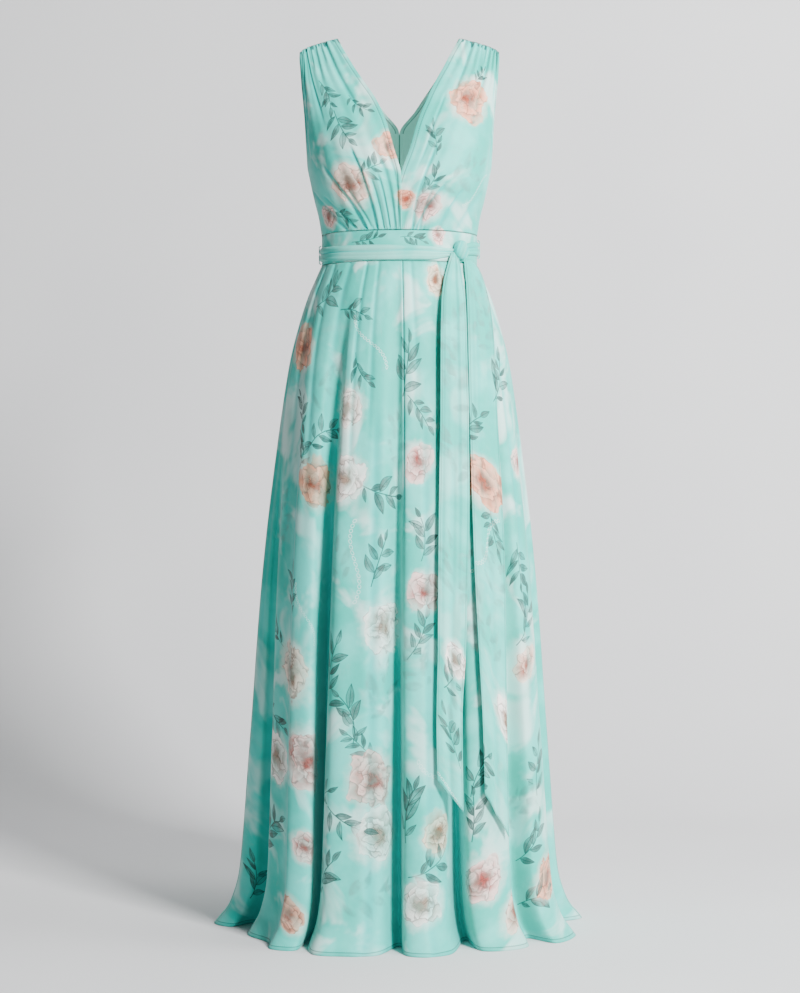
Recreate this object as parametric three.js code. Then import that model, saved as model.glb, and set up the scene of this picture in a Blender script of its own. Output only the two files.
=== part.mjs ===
// A sleeveless maxi dress with a V neck, gathered shoulders, a fitted waistband and a tied sash.
// Millimetres, +Z up. The front faces -Y and +X is to the right when looking at the front.
// The origin lies midway between the shoulders, at the height where the dress hangs on its wearer.
// Each piece is a thin wall of cloth between an outer skin and the same skin moved in.
// A drop is a distance below the shoulder line. A turn is in degrees round the body from centre front.
import * as THREE from 'three';

// Cloth
const CLOTH = 1.6;
const SEAM = 0.3;
const ON_CLOTH = 0.4;
const SEWN_THICKNESS = 1.2;

// Heights, as drops below the shoulder line
const WAIST_DROP = 318;
const SKIRT_DROP = 368;
const HEM_DROP = 1442;

// Half width and half depth of the waist
const WAIST_HALF = 127.5;
const WAIST_DEEP = 92;

// Smoothness of the walls
const FRONT_COLUMNS = 27;
const BACK_COLUMNS = 18;
const FRONT_FOLD_STEPS = 4;
const BACK_FOLD_STEPS = 3;
const BELT_STEPS = 48;
const BAND_STEPS = 14;
const TAIL_COLUMNS = 7;

// Colours of the cloth, front and shaded
const AQUA = 0x9cdcd2;
const DEEP_AQUA = 0x7ccabf;
const PALE_AQUA = 0xaee2da;

// Neck edges from the shoulder seam to the waist seam. part is the share of the way down a panel, x and
// y are distances from the middle of the body, and tuck is how far the edge lies under the other panel.
const NECK_OVER = [
  { part: 0, drop: -7, x: 103, y: 0.15, tuck: 0 },
  { part: 0.08, drop: 20, x: 89, y: 25, tuck: 0 },
  { part: 0.17, drop: 48, x: 74, y: 46, tuck: 0 },
  { part: 0.26, drop: 78, x: 56, y: 66, tuck: 0 },
  { part: 0.35, drop: 108, x: 37.5, y: 84, tuck: 0 },
  { part: 0.47, drop: 147, x: 21, y: 102, tuck: 0 },
  { part: 0.6, drop: 190, x: 9, y: 114, tuck: 0 },
  { part: 0.73, drop: 235, x: -3, y: 117, tuck: 0 },
  { part: 0.83, drop: 262, x: -4, y: 112, tuck: 0 },
  { part: 0.92, drop: 290, x: -4, y: 102, tuck: 0 },
  { part: 1, drop: 318, x: -4, y: 92, tuck: 0 },
];
const NECK_UNDER = [
  { part: 0, drop: -7, x: 98, y: 0.15, tuck: 0 },
  { part: 0.08, drop: 20, x: 85, y: 25, tuck: 0 },
  { part: 0.17, drop: 48, x: 72, y: 46, tuck: 0 },
  { part: 0.26, drop: 78, x: 57, y: 66, tuck: 0 },
  { part: 0.35, drop: 108, x: 44, y: 84, tuck: 0 },
  { part: 0.47, drop: 147, x: 29, y: 102, tuck: 0.5 },
  { part: 0.6, drop: 190, x: 17, y: 114, tuck: 2.4 },
  { part: 0.73, drop: 235, x: 1, y: 117, tuck: 4 },
  { part: 0.83, drop: 262, x: -6, y: 112, tuck: 4.4 },
  { part: 0.92, drop: 290, x: -8, y: 102, tuck: 4.2 },
  { part: 1, drop: 318, x: -8, y: 92, tuck: 3.4 },
];
const NECK_BACK = [
  { part: 0, drop: -7, x: 101, y: 0.15, tuck: 0 },
  { part: 0.08, drop: 14, x: 87, y: 27, tuck: 0 },
  { part: 0.17, drop: 38, x: 70, y: 50, tuck: 0 },
  { part: 0.26, drop: 66, x: 49, y: 69, tuck: 0 },
  { part: 0.35, drop: 98, x: 26, y: 83, tuck: 0 },
  { part: 0.47, drop: 134, x: 0.15, y: 93, tuck: 0 },
  { part: 0.6, drop: 176, x: 0.15, y: 100, tuck: 0 },
  { part: 0.73, drop: 217, x: 0.15, y: 101, tuck: 0 },
  { part: 0.83, drop: 252, x: 0.15, y: 98, tuck: 0 },
  { part: 0.92, drop: 286, x: 0.15, y: 94, tuck: 0 },
  { part: 1, drop: 318, x: 0.15, y: 92, tuck: 0 },
];

// Armhole edge down to the underarm, then the side seam. full is how far the panel swells between its
// edges, over the bust in front and the shoulder blades behind.
const SIDE_EDGE = [
  { part: 0, drop: 18, x: 164, frontY: 0.15, backY: 0.15, frontFull: 0, backFull: 0 },
  { part: 0.08, drop: 44, x: 162, frontY: 15, backY: 15, frontFull: 0, backFull: 1 },
  { part: 0.17, drop: 76, x: 159.5, frontY: 28, backY: 29, frontFull: 2, backFull: 3 },
  { part: 0.26, drop: 106, x: 156.5, frontY: 36, backY: 37, frontFull: 4, backFull: 5 },
  { part: 0.35, drop: 136, x: 154, frontY: 37, backY: 38, frontFull: 7, backFull: 6 },
  { part: 0.47, drop: 170, x: 152.5, frontY: 25, backY: 26, frontFull: 11, backFull: 6 },
  { part: 0.6, drop: 200, x: 151.5, frontY: 0.15, backY: 0.15, frontFull: 15, backFull: 4 },
  { part: 0.73, drop: 235, x: 145, frontY: 0.15, backY: 0.15, frontFull: 15, backFull: 2 },
  { part: 0.83, drop: 262, x: 139, frontY: 0.15, backY: 0.15, frontFull: 10, backFull: 0 },
  { part: 0.92, drop: 290, x: 132, frontY: 0.15, backY: 0.15, frontFull: 4, backFull: 0 },
  { part: 1, drop: 318, x: 127.5, frontY: 0.15, backY: 0.15, frontFull: 0, backFull: 0 },
];
const PANEL_PARTS = [0, 0.045, 0.1, 0.18, 0.27, 0.37, 0.48, 0.6, 0.7, 0.79, 0.87, 0.94, 1];
// Panel columns crowd towards the centre at the waist, so that gathers fan out upwards.
const WAIST_CROWDING = 0.9;
const CROWDING_BEND = 2.2;
// Shares of a panel from its neck edge where the tuck begins to ease and where it ends
const TUCK_EASES = 0.11;
const TUCK_ENDS = 0.32;

// Gathers from shoulder to waist: how far each stands proud at the shoulder, over the bust, just above
// the waist and at the waist seam
const GATHERS_OVER = [
  { shoulder: 1.6, bust: 2.4, high: 3.2, waist: 1.2 },
  { shoulder: 2.4, bust: 1.6, high: 4.0, waist: 1.6 },
  { shoulder: 2.2, bust: 2.2, high: 4.4, waist: 1.8 },
  { shoulder: 2.8, bust: 1.2, high: 3.6, waist: 1.6 },
  { shoulder: 2.4, bust: 1.8, high: 3.8, waist: 1.6 },
  { shoulder: 2.8, bust: 1.0, high: 2.6, waist: 1.2 },
  { shoulder: 2.2, bust: 1.4, high: 1.6, waist: 0.8 },
  { shoulder: 2.6, bust: 0.8, high: 0.8, waist: 0.4 },
  { shoulder: 1.6, bust: 0.6, high: 0.2, waist: 0 },
];
const GATHERS_UNDER = [
  { shoulder: 1.8, bust: 1.8, high: 0.8, waist: 0.4 },
  { shoulder: 2.2, bust: 2.4, high: 1.2, waist: 0.6 },
  { shoulder: 2.6, bust: 1.4, high: 2.6, waist: 1.2 },
  { shoulder: 2.2, bust: 2.0, high: 3.4, waist: 1.6 },
  { shoulder: 2.8, bust: 1.2, high: 2.8, waist: 1.2 },
  { shoulder: 2.4, bust: 1.6, high: 1.8, waist: 0.8 },
  { shoulder: 2.8, bust: 0.8, high: 1.2, waist: 0.6 },
  { shoulder: 2.2, bust: 1.0, high: 0.6, waist: 0.2 },
  { shoulder: 1.6, bust: 0.4, high: 0.2, waist: 0 },
];
const GATHERS_BACK = [
  { shoulder: 1.8, bust: 1.4, high: 1.8, waist: 0.6 },
  { shoulder: 2.4, bust: 1.2, high: 2.6, waist: 1.2 },
  { shoulder: 2.6, bust: 1.4, high: 2.8, waist: 1.2 },
  { shoulder: 2.4, bust: 0.9, high: 2.2, waist: 1.0 },
  { shoulder: 2.6, bust: 0.8, high: 1.2, waist: 0.6 },
  { shoulder: 1.6, bust: 0.5, high: 0.4, waist: 0 },
];
// Parts of a panel where the bust, the fullness above the waist, the underarm and the back neck lie
const BUST_PART = 0.4;
const HIGH_PART = 0.82;
const UNDERARM_PART = 0.55;
const BACK_NECK_PART = 0.45;

// Half width and half depth of the skirt at each drop, with the kick of the hem along the floor
const SKIRT = [
  { drop: 368, half: 128.5, deep: 93 },
  { drop: 392, half: 139, deep: 101 },
  { drop: 415, half: 149, deep: 109 },
  { drop: 461, half: 164, deep: 121 },
  { drop: 520, half: 179, deep: 134 },
  { drop: 586, half: 190, deep: 146 },
  { drop: 704, half: 206, deep: 165 },
  { drop: 805, half: 218, deep: 181 },
  { drop: 923, half: 229, deep: 198 },
  { drop: 1094, half: 241, deep: 218 },
  { drop: 1189, half: 248, deep: 227 },
  { drop: 1300, half: 256, deep: 233 },
  { drop: 1360, half: 262, deep: 238 },
  { drop: 1409, half: 277, deep: 248 },
  { drop: 1442, half: 302, deep: 271 },
];
const SKIRT_DROPS = [368, 380, 400, 440, 510, 610, 740, 890, 1050, 1210, 1330, 1395, 1442];

// Folds of the skirt in order round the body. top is the turn where a fold leaves the waist. across and
// front are its place at the hem, in shares of the half width and half depth there, and from is the
// share of the skirt's length above which it doesn't show.
const FOLDS = [
  { name: 'left side ridge', top: -88, across: -1.0, front: 0.07, from: 0 },
  { name: 'left side lobe', top: -82, across: -0.9, front: 0.17, from: 0 },
  { name: 'left side valley', top: -76, across: -0.785, front: 0.06, from: 0.2 },
  { name: 'left flank', top: -70, across: -0.8, front: 0.4, from: 0.1 },
  { name: 'left flank step', top: -63, across: -0.69, front: 0.6, from: 0 },
  { name: 'left ridge edge', top: -58, across: -0.66, front: 0.79, from: 0 },
  { name: 'left ridge', top: -45, across: -0.53, front: 0.83, from: 0 },
  { name: 'left valley', top: -32, across: -0.46, front: 0.32, from: 0.05 },
  { name: 'middle ridge edge', top: -27, across: -0.44, front: 0.93, from: 0.2 },
  { name: 'middle ridge', top: -18, across: -0.29, front: 0.985, from: 0 },
  { name: 'middle ridge end', top: -8, across: -0.12, front: 0.97, from: 0 },
  { name: 'centre valley', top: -1, across: 0.0, front: 0.725, from: 0 },
  { name: 'centre ridge edge', top: 2.5, across: 0.035, front: 0.97, from: 0 },
  { name: 'centre ridge', top: 9, across: 0.14, front: 1.01, from: 0 },
  { name: 'centre ridge end', top: 17, across: 0.26, front: 0.93, from: 0 },
  { name: 'sash valley', top: 24, across: 0.345, front: 0.56, from: 0 },
  { name: 'sash ridge edge', top: 30, across: 0.42, front: 0.84, from: 0 },
  { name: 'sash ridge', top: 38, across: 0.55, front: 0.83, from: 0 },
  { name: 'sash ridge end', top: 45, across: 0.66, front: 0.73, from: 0 },
  { name: 'right valley', top: 51, across: 0.67, front: 0.5, from: 0.05 },
  { name: 'right ridge', top: 59, across: 0.81, front: 0.63, from: 0 },
  { name: 'right ridge end', top: 69, across: 0.93, front: 0.41, from: 0 },
  { name: 'right side valley', top: 79, across: 0.85, front: 0.06, from: 0.2 },
  { name: 'right side ridge', top: 89, across: 1.0, front: -0.1, from: 0 },
  { name: 'right back lobe', top: 101, across: 0.93, front: -0.33, from: 0 },
  { name: 'right back valley', top: 111, across: 0.74, front: -0.36, from: 0.05 },
  { name: 'right back ridge edge', top: 121, across: 0.8, front: -0.62, from: 0 },
  { name: 'right back ridge', top: 132, across: 0.65, front: -0.77, from: 0 },
  { name: 'right back inner valley', top: 141, across: 0.5, front: -0.5, from: 0 },
  { name: 'back ridge one', top: 149, across: 0.45, front: -0.88, from: 0 },
  { name: 'back ridge one end', top: 160, across: 0.29, front: -0.96, from: 0 },
  { name: 'back valley one', top: 169, across: 0.17, front: -0.64, from: 0 },
  { name: 'back ridge two', top: 174, across: 0.12, front: -0.97, from: 0 },
  { name: 'centre back', top: 180, across: 0.0, front: -1.0, from: 0 },
  { name: 'back ridge two end', top: 187, across: -0.12, front: -0.95, from: 0 },
  { name: 'back valley two', top: 194, across: -0.19, front: -0.6, from: 0 },
  { name: 'back ridge three', top: 201, across: -0.27, front: -0.94, from: 0 },
  { name: 'back ridge three end', top: 212, across: -0.44, front: -0.9, from: 0 },
  { name: 'left back valley', top: 221, across: -0.49, front: -0.48, from: 0 },
  { name: 'left back ridge', top: 231, across: -0.62, front: -0.79, from: 0 },
  { name: 'left back ridge end', top: 242, across: -0.77, front: -0.66, from: 0 },
  { name: 'left back outer valley', top: 251, across: -0.73, front: -0.34, from: 0.05 },
  { name: 'left back lobe', top: 261, across: -0.92, front: -0.3, from: 0 },
];
const FOLD_GROWTH = 0.75;

// Upper and lower edge of the sash belt round the body, as drops
const BELT = [
  { turn: -90, top: 338, bottom: 360 },
  { turn: -45, top: 341, bottom: 365 },
  { turn: -8, top: 342, bottom: 366.5 },
  { turn: 20, top: 343.5, bottom: 366 },
  { turn: 40, top: 346, bottom: 359 },
  { turn: 51, top: 340, bottom: 355 },
  { turn: 62, top: 334, bottom: 354 },
  { turn: 90, top: 328, bottom: 351 },
  { turn: 180, top: 326, bottom: 352 },
  { turn: 270, top: 338, bottom: 360 },
];
// How far the belt stands out across its width: two soft rolls with a crease between them
const BELT_PROFILE = [
  { share: 0, out: 1.5 },
  { share: 0.22, out: 3.0 },
  { share: 0.47, out: 1.8 },
  { share: 0.74, out: 3.3 },
  { share: 1, out: 1.5 },
];

// The knot on the belt, seen from outside: its middle, half width, half height and depth
const KNOT = { turn: 51, drop: 346.5, half: 12, tall: 15.5, deep: 9.5, clear: 4.2 };
const KNOT_COLUMNS = 12;
const KNOT_ROWS = 10;
const KNOT_CREASE = 1.6;

// Sash tails: left and right edges as x at each drop, how far each stands out from the skirt's
// outline, and the cloth's soft lengthwise roll
const TAIL_LEFT = [
  { drop: 353, left: 81, right: 91.5, out: 5.2, roll: 0 },
  { drop: 363, left: 78, right: 93, out: 5.2, roll: 1 },
  { drop: 378, left: 74, right: 96, out: 5, roll: 2.5 },
  { drop: 400, left: 69, right: 99, out: 5, roll: 3 },
  { drop: 435, left: 65, right: 103, out: 6, roll: 3 },
  { drop: 500, left: 63, right: 104, out: 8, roll: 2.5 },
  { drop: 620, left: 62, right: 106, out: 9, roll: 2 },
  { drop: 740, left: 60, right: 106, out: 9, roll: 2.5 },
  { drop: 860, left: 58, right: 103, out: 10, roll: 2 },
  { drop: 980, left: 57, right: 100, out: 10, roll: 2.5 },
  { drop: 1090, left: 55, right: 94, out: 10, roll: 2 },
  { drop: 1230, left: 58, right: 95, out: 10, roll: 1.5 },
];
const TAIL_RIGHT = [
  { drop: 362.6, left: 101, right: 115, out: 4.8, roll: 0 },
  { drop: 372, left: 102, right: 124, out: 4.6, roll: 1.5 },
  { drop: 388, left: 103.5, right: 132, out: 4.2, roll: 2.5 },
  { drop: 410, left: 105, right: 138, out: 4.2, roll: 3 },
  { drop: 440, left: 106, right: 144, out: 4.5, roll: 2.5 },
  { drop: 500, left: 107, right: 149, out: 5, roll: 2 },
  { drop: 620, left: 108.5, right: 153, out: 6, roll: 2.5 },
  { drop: 740, left: 111, right: 158, out: 7, roll: 2 },
  { drop: 860, left: 114, right: 161, out: 8, roll: 2.5 },
  { drop: 980, left: 119, right: 162, out: 9, roll: 2 },
  { drop: 1090, left: 125, right: 163, out: 9, roll: 2 },
  { drop: 1275, left: 130, right: 165, out: 9, roll: 1.5 },
];
// Each tail ends on a slant: its short edge stops at this drop, on the left
const TAIL_LEFT_SHORT = 1181;
const TAIL_RIGHT_SHORT = 1205;
const TAIL_PARTS = [0, 0.02, 0.05, 0.09, 0.15, 0.22, 0.3, 0.39, 0.48, 0.57, 0.66, 0.75, 0.84, 0.92, 1];

// Thread loops that carry the belt at the side seams
const LOOP = { wide: 2, tall: 30, stand: 4.6, thick: 1.2 };

const radians = THREE.MathUtils.degToRad;
const mix = THREE.MathUtils.lerp;
const clamp = THREE.MathUtils.clamp;
const point = (x, y, z) => new THREE.Vector3(x, y, z);

/** Value of a table's column at a place between its rows, on a smooth curve that never overshoots them. */
function readTable(table, key, column, at) {
  const last = table.length - 1;
  const place = clamp(at, table[0][key], table[last][key]);
  const row = Math.min(Math.max(table.findIndex((entry) => entry[key] >= place), 1), last) - 1;
  const span = (index) => table[index + 1][key] - table[index][key];
  const grade = (index) => (table[index + 1][column] - table[index][column]) / span(index);
  const slope = (index) => {
    if (index === 0) return grade(0);
    if (index === last) return grade(last - 1);
    const [before, after] = [grade(index - 1), grade(index)];
    return before * after > 0 ? (2 * before * after) / (before + after) : 0;
  };
  const t = (place - table[row][key]) / span(row);
  const rise = table[row + 1][column] - table[row][column];
  const bend = (slope(row) * (1 - t) - slope(row + 1) * t) * span(row) - rise * (1 - 2 * t);
  return table[row][column] + rise * t + t * (1 - t) * bend;
}

/** Outward normals of a grid of points. A closed grid's last column runs on into its first. */
function gridNormals(grid, closed) {
  const lastRow = grid.length - 1;
  const columns = grid[0].length;
  return grid.map((row, i) => row.map((_, j) => {
    const before = closed ? (j - 1 + columns) % columns : Math.max(j - 1, 0);
    const after = closed ? (j + 1) % columns : Math.min(j + 1, columns - 1);
    const along = row[after].clone().sub(row[before]);
    const down = grid[Math.min(i + 1, lastRow)][j].clone().sub(grid[Math.max(i - 1, 0)][j]);
    return down.cross(along).normalize();
  }));
}

/** Grid moved along its normals by an amount for each row and column. */
function moved(grid, normals, amount) {
  return grid.map((row, i) => row.map((place, j) => (
    place.clone().addScaledVector(normals[i][j], amount(i, j))
  )));
}

/** Closed solid between an outer and an inner grid. A closed grid is a ring with rims at two ends. */
function solidBetween(outer, inner, closed) {
  const rows = outer.length;
  const columns = outer[0].length;
  const corners = [...outer.flat(), ...inner.flat()];
  const outside = (i, j) => i * columns + (j % columns);
  const inside = (i, j) => rows * columns + outside(i, j);
  const faces = [];
  const addQuad = (a, b, c, d) => faces.push(a, b, c, a, c, d);
  const lastColumn = closed ? columns : columns - 1;
  for (let i = 0; i < rows - 1; i += 1) {
    for (let j = 0; j < lastColumn; j += 1) {
      addQuad(outside(i, j), outside(i + 1, j), outside(i + 1, j + 1), outside(i, j + 1));
      addQuad(inside(i, j), inside(i, j + 1), inside(i + 1, j + 1), inside(i + 1, j));
    }
  }
  for (let j = 0; j < lastColumn; j += 1) {
    addQuad(outside(0, j), outside(0, j + 1), inside(0, j + 1), inside(0, j));
    addQuad(outside(rows - 1, j + 1), outside(rows - 1, j), inside(rows - 1, j), inside(rows - 1, j + 1));
  }
  for (let i = 0; i < rows - 1 && !closed; i += 1) {
    addQuad(outside(i + 1, 0), outside(i, 0), inside(i, 0), inside(i + 1, 0));
    addQuad(outside(i, columns - 1), outside(i + 1, columns - 1), inside(i + 1, columns - 1),
      inside(i, columns - 1));
  }
  const geometry = new THREE.BufferGeometry();
  geometry.setAttribute('position', new THREE.Float32BufferAttribute(
    corners.flatMap((corner) => corner.toArray()), 3,
  ));
  geometry.setIndex(facingOut(corners, faces));
  geometry.computeVertexNormals();
  return geometry;
}

/** The faces of a closed solid, turned over if they point into it. */
function facingOut(corners, faces) {
  let volume = 0;
  for (let i = 0; i < faces.length; i += 3) {
    const [a, b, c] = [corners[faces[i]], corners[faces[i + 1]], corners[faces[i + 2]]];
    volume += a.dot(b.clone().cross(c));
  }
  return volume > 0 ? faces : faces.slice().reverse();
}

/** Wall of cloth whose outer skin is the grid. */
function clothWall(grid, normals, closed = false, thickness = CLOTH) {
  return solidBetween(grid, moved(grid, normals, () => -thickness), closed);
}

/** Named piece of cloth. */
function piece(name, geometry, colour) {
  const material = new THREE.MeshStandardMaterial({
    color: colour, roughness: 0.75, metalness: 0, side: THREE.DoubleSide,
  });
  const mesh = new THREE.Mesh(geometry, material);
  mesh.name = name;
  return mesh;
}

/** Point of the waist's ellipse at a turn, moved out from it. */
function waistPoint(turn, drop, out) {
  const angle = radians(turn);
  const normal = point(Math.sin(angle) / WAIST_HALF, -Math.cos(angle) / WAIST_DEEP, 0).normalize();
  return point(WAIST_HALF * Math.sin(angle), -WAIST_DEEP * Math.cos(angle), -drop)
    .addScaledVector(normal, out);
}

/** Point of a bodice panel on its smooth form, before gathers. hand is -1 on the left of the view. */
function panelPoint(cut, column, part) {
  const share = column ** (1 + WAIST_CROWDING * part ** CROWDING_BEND);
  const neck = (name) => readTable(cut.neck, 'part', name, part);
  const side = (name) => readTable(SIDE_EDGE, 'part', name, part);
  const sideY = side(cut.back ? 'backY' : 'frontY');
  const reach = side('x') - neck('x');
  const section = new THREE.CubicBezierCurve(
    new THREE.Vector2(neck('x'), neck('y')),
    new THREE.Vector2(neck('x') + 0.55 * reach, neck('y')),
    new THREE.Vector2(side('x'), sideY + 0.55 * (neck('y') - sideY)),
    new THREE.Vector2(side('x'), sideY),
  ).getPoint(share);
  const full = side(cut.back ? 'backFull' : 'frontFull') * Math.sin(Math.PI * share);
  const tucked = neck('tuck') * (1 - THREE.MathUtils.smoothstep(share, TUCK_EASES, TUCK_ENDS));
  const outward = section.y + full - tucked;
  const drop = mix(neck('drop'), side('drop'), share);
  return point(cut.hand * section.x, cut.back ? outward : -outward, -drop);
}

/** How far a panel's gathers stand proud at a column and part. Each gather is a rounded ridge. */
function gatherHeight(gathers, column, part) {
  const place = column * gathers.length;
  const index = Math.min(Math.floor(place), gathers.length - 1);
  const gather = gathers[index];
  const depth = part < BUST_PART
    ? mix(gather.shoulder, gather.bust, part / BUST_PART)
    : part < HIGH_PART
      ? mix(gather.bust, gather.high, (part - BUST_PART) / (HIGH_PART - BUST_PART))
      : mix(gather.high, gather.waist, (part - HIGH_PART) / (1 - HIGH_PART));
  return depth * Math.sin(Math.PI * (place - index)) ** 2;
}

/** Front or back bodice panel, from its gathered shoulder to the waist seam. */
function bodicePanel(name, cut, colour) {
  const columns = Array.from({ length: cut.columns + 1 }, (_, j) => j / cut.columns);
  const smooth = PANEL_PARTS.map((part) => columns.map((column) => panelPoint(cut, column, part)));
  const facing = cut.back === (cut.hand < 0) ? 1 : -1;
  const normals = gridNormals(smooth, false).map((row) => row.map((n) => n.multiplyScalar(facing)));
  const seam = smooth[0];
  const slope = seam[seam.length - 1].clone().sub(seam[0]);
  const up = point(-slope.z * Math.sign(slope.x), 0, Math.abs(slope.x)).normalize();
  normals[0] = normals[0].map(() => up.clone());
  normals.forEach((row, i) => {
    if (PANEL_PARTS[i] >= UNDERARM_PART) row[row.length - 1].setY(0).normalize();
    if (cut.back && PANEL_PARTS[i] >= BACK_NECK_PART) row[0].setX(0).normalize();
  });
  normals[normals.length - 1].forEach((normal) => normal.setZ(0).normalize());
  const gathered = moved(smooth, normals, (i, j) => gatherHeight(cut.gathers, columns[j], PANEL_PARTS[i]));
  return piece(name, clothWall(gathered, normals), colour);
}

/** Section of the skirt at a drop: a closed curve through the folds. */
function skirtSection(drop) {
  const down = (drop - SKIRT_DROP) / (HEM_DROP - SKIRT_DROP);
  const half = readTable(SKIRT, 'drop', 'half', drop);
  const deep = readTable(SKIRT, 'drop', 'deep', drop);
  const bends = FOLDS.map((fold) => {
    const grown = clamp((down - fold.from) / (1 - fold.from), 0, 1) ** FOLD_GROWTH;
    const turn = radians(fold.top);
    const across = mix(Math.sin(turn), fold.across, grown);
    const front = mix(Math.cos(turn), fold.front, grown);
    return point(half * across, -deep * front, -drop);
  });
  return new THREE.CatmullRomCurve3(bends, true, 'centripetal');
}

/** Index of a fold in the table, by its name. */
const foldCalled = (name) => FOLDS.findIndex((fold) => fold.name === name);

/** Places of the skirt's columns along its sections, from 0 to 1 all round. */
function skirtColumns() {
  const places = [];
  FOLDS.forEach((_, index) => {
    const steps = index < foldCalled('right side ridge') ? FRONT_FOLD_STEPS : BACK_FOLD_STEPS;
    for (let step = 0; step < steps; step += 1) places.push((index + step / steps) / FOLDS.length);
  });
  return places;
}

/** The skirt's cut panels, each from one named fold to another, out of one ring of points. */
function skirtPanels(cuts) {
  const places = skirtColumns();
  const ring = SKIRT_DROPS.map((drop) => {
    const section = skirtSection(drop);
    return places.map((place) => section.getPoint(place));
  });
  ring[0].forEach((place) => place.setZ(-SKIRT_DROP - SEAM));
  const normals = gridNormals(ring, true);
  [normals[0], normals[normals.length - 1]].flat().forEach((normal) => normal.setZ(0).normalize());
  return cuts.map(({ name, first, last, colour }) => {
    const start = places.indexOf(foldCalled(first) / FOLDS.length);
    const end = places.indexOf(foldCalled(last) / FOLDS.length);
    const count = (end - start + places.length) % places.length;
    const order = Array.from({ length: count + 1 }, (_, j) => (start + j) % places.length);
    const grid = ring.map((row) => order.map((index) => row[index].clone()));
    const facing = normals.map((row) => order.map((index) => row[index]));
    grid.forEach((row) => {
      [[0, 1], [count, count - 1]].forEach(([edge, next]) => {
        const inward = row[next].clone().sub(row[edge]).setZ(0).normalize();
        row[edge].addScaledVector(inward, SEAM / 2);
      });
    });
    return piece(name, clothWall(grid, facing), colour);
  });
}

/** Part of the waistband between two turns. */
function waistbandPart(name, firstTurn, lastTurn) {
  const gap = THREE.MathUtils.radToDeg(SEAM / 2 / WAIST_DEEP);
  const drops = [WAIST_DROP + SEAM, (WAIST_DROP + SKIRT_DROP) / 2, SKIRT_DROP];
  const turnAt = (j) => mix(firstTurn + gap, lastTurn - gap, j / BAND_STEPS);
  const ring = (out) => drops.map((drop) => (
    Array.from({ length: BAND_STEPS + 1 }, (_, j) => waistPoint(turnAt(j), drop, out))
  ));
  return piece(name, solidBetween(ring(0), ring(-CLOTH), false), DEEP_AQUA);
}

/** How far the belt's outer skin stands out from the waistband, and its drop, at a turn and a share. */
function beltPlace(turn, share) {
  const top = readTable(BELT, 'turn', 'top', turn);
  const bottom = readTable(BELT, 'turn', 'bottom', turn);
  return { drop: mix(top, bottom, share), out: ON_CLOTH + readTable(BELT_PROFILE, 'share', 'out', share) };
}

/** The sash belt, wrapped round the waistband. */
function sashBelt() {
  const turns = Array.from({ length: BELT_STEPS }, (_, j) => -90 + (360 * j) / BELT_STEPS);
  const ring = (outOf) => BELT_PROFILE.map(({ share }) => turns.map((turn) => {
    const { drop, out } = beltPlace(turn, share);
    return waistPoint(turn, drop, outOf(out));
  }));
  return piece('sash_belt', solidBetween(ring((out) => out), ring(() => ON_CLOTH), true), AQUA);
}

/** The knot: a rounded wrap of the sash over the belt, with a slanting crease. */
function sashKnot() {
  const centre = waistPoint(KNOT.turn, KNOT.drop, KNOT.clear);
  const out = waistPoint(KNOT.turn, KNOT.drop, KNOT.clear + 1).sub(centre);
  const across = point(-out.y, out.x, 0).normalize();
  const level = (raised) => Array.from({ length: KNOT_ROWS + 1 }, (_, i) => (
    Array.from({ length: KNOT_COLUMNS + 1 }, (__, j) => {
      const u = (2 * j) / KNOT_COLUMNS - 1;
      const v = (2 * i) / KNOT_ROWS - 1;
      const x = u * Math.sqrt(1 - (v * v) / 2) * KNOT.half;
      const z = -v * Math.sqrt(1 - (u * u) / 2) * KNOT.tall;
      const dome = Math.sqrt(Math.max((1 - u * u) * (1 - v * v), 0)) ** 0.7;
      const crease = KNOT_CREASE * Math.cos(2 * Math.PI * (0.9 * u + 0.5 * v)) * dome;
      const height = raised ? CLOTH + (KNOT.deep - CLOTH) * dome + crease : 0;
      return centre.clone().addScaledVector(across, x).addScaledVector(out, height).add(point(0, 0, z));
    })
  ));
  return piece('sash_knot', solidBetween(level(true), level(false), false), AQUA);
}

/** Point of a sash tail: across runs from its left edge to its right, part from the knot to the end. */
function tailPoint(table, shortDrop, across, part) {
  const top = table[0].drop;
  const end = mix(shortDrop, table[table.length - 1].drop, across);
  const drop = mix(top, end, part);
  const x = mix(readTable(table, 'drop', 'left', drop), readTable(table, 'drop', 'right', drop), across);
  const half = readTable(SKIRT, 'drop', 'half', drop);
  const deep = readTable(SKIRT, 'drop', 'deep', drop);
  const front = Math.sqrt(1 - (x / half) ** 2);
  const normal = point(x / half / half, -front / deep, 0).normalize();
  const roll = readTable(table, 'drop', 'roll', drop) * Math.sin(2 * Math.PI * across) ** 2;
  return point(x, -deep * front, -drop)
    .addScaledVector(normal, readTable(table, 'drop', 'out', drop) + roll);
}

/** A sash tail, hanging from the knot over the skirt's ridges. */
function sashTail(name, table, shortDrop) {
  const grid = TAIL_PARTS.map((part) => Array.from({ length: TAIL_COLUMNS + 1 }, (_, j) => (
    tailPoint(table, shortDrop, j / TAIL_COLUMNS, part)
  )));
  return piece(name, clothWall(grid, gridNormals(grid, false)), PALE_AQUA);
}

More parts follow.
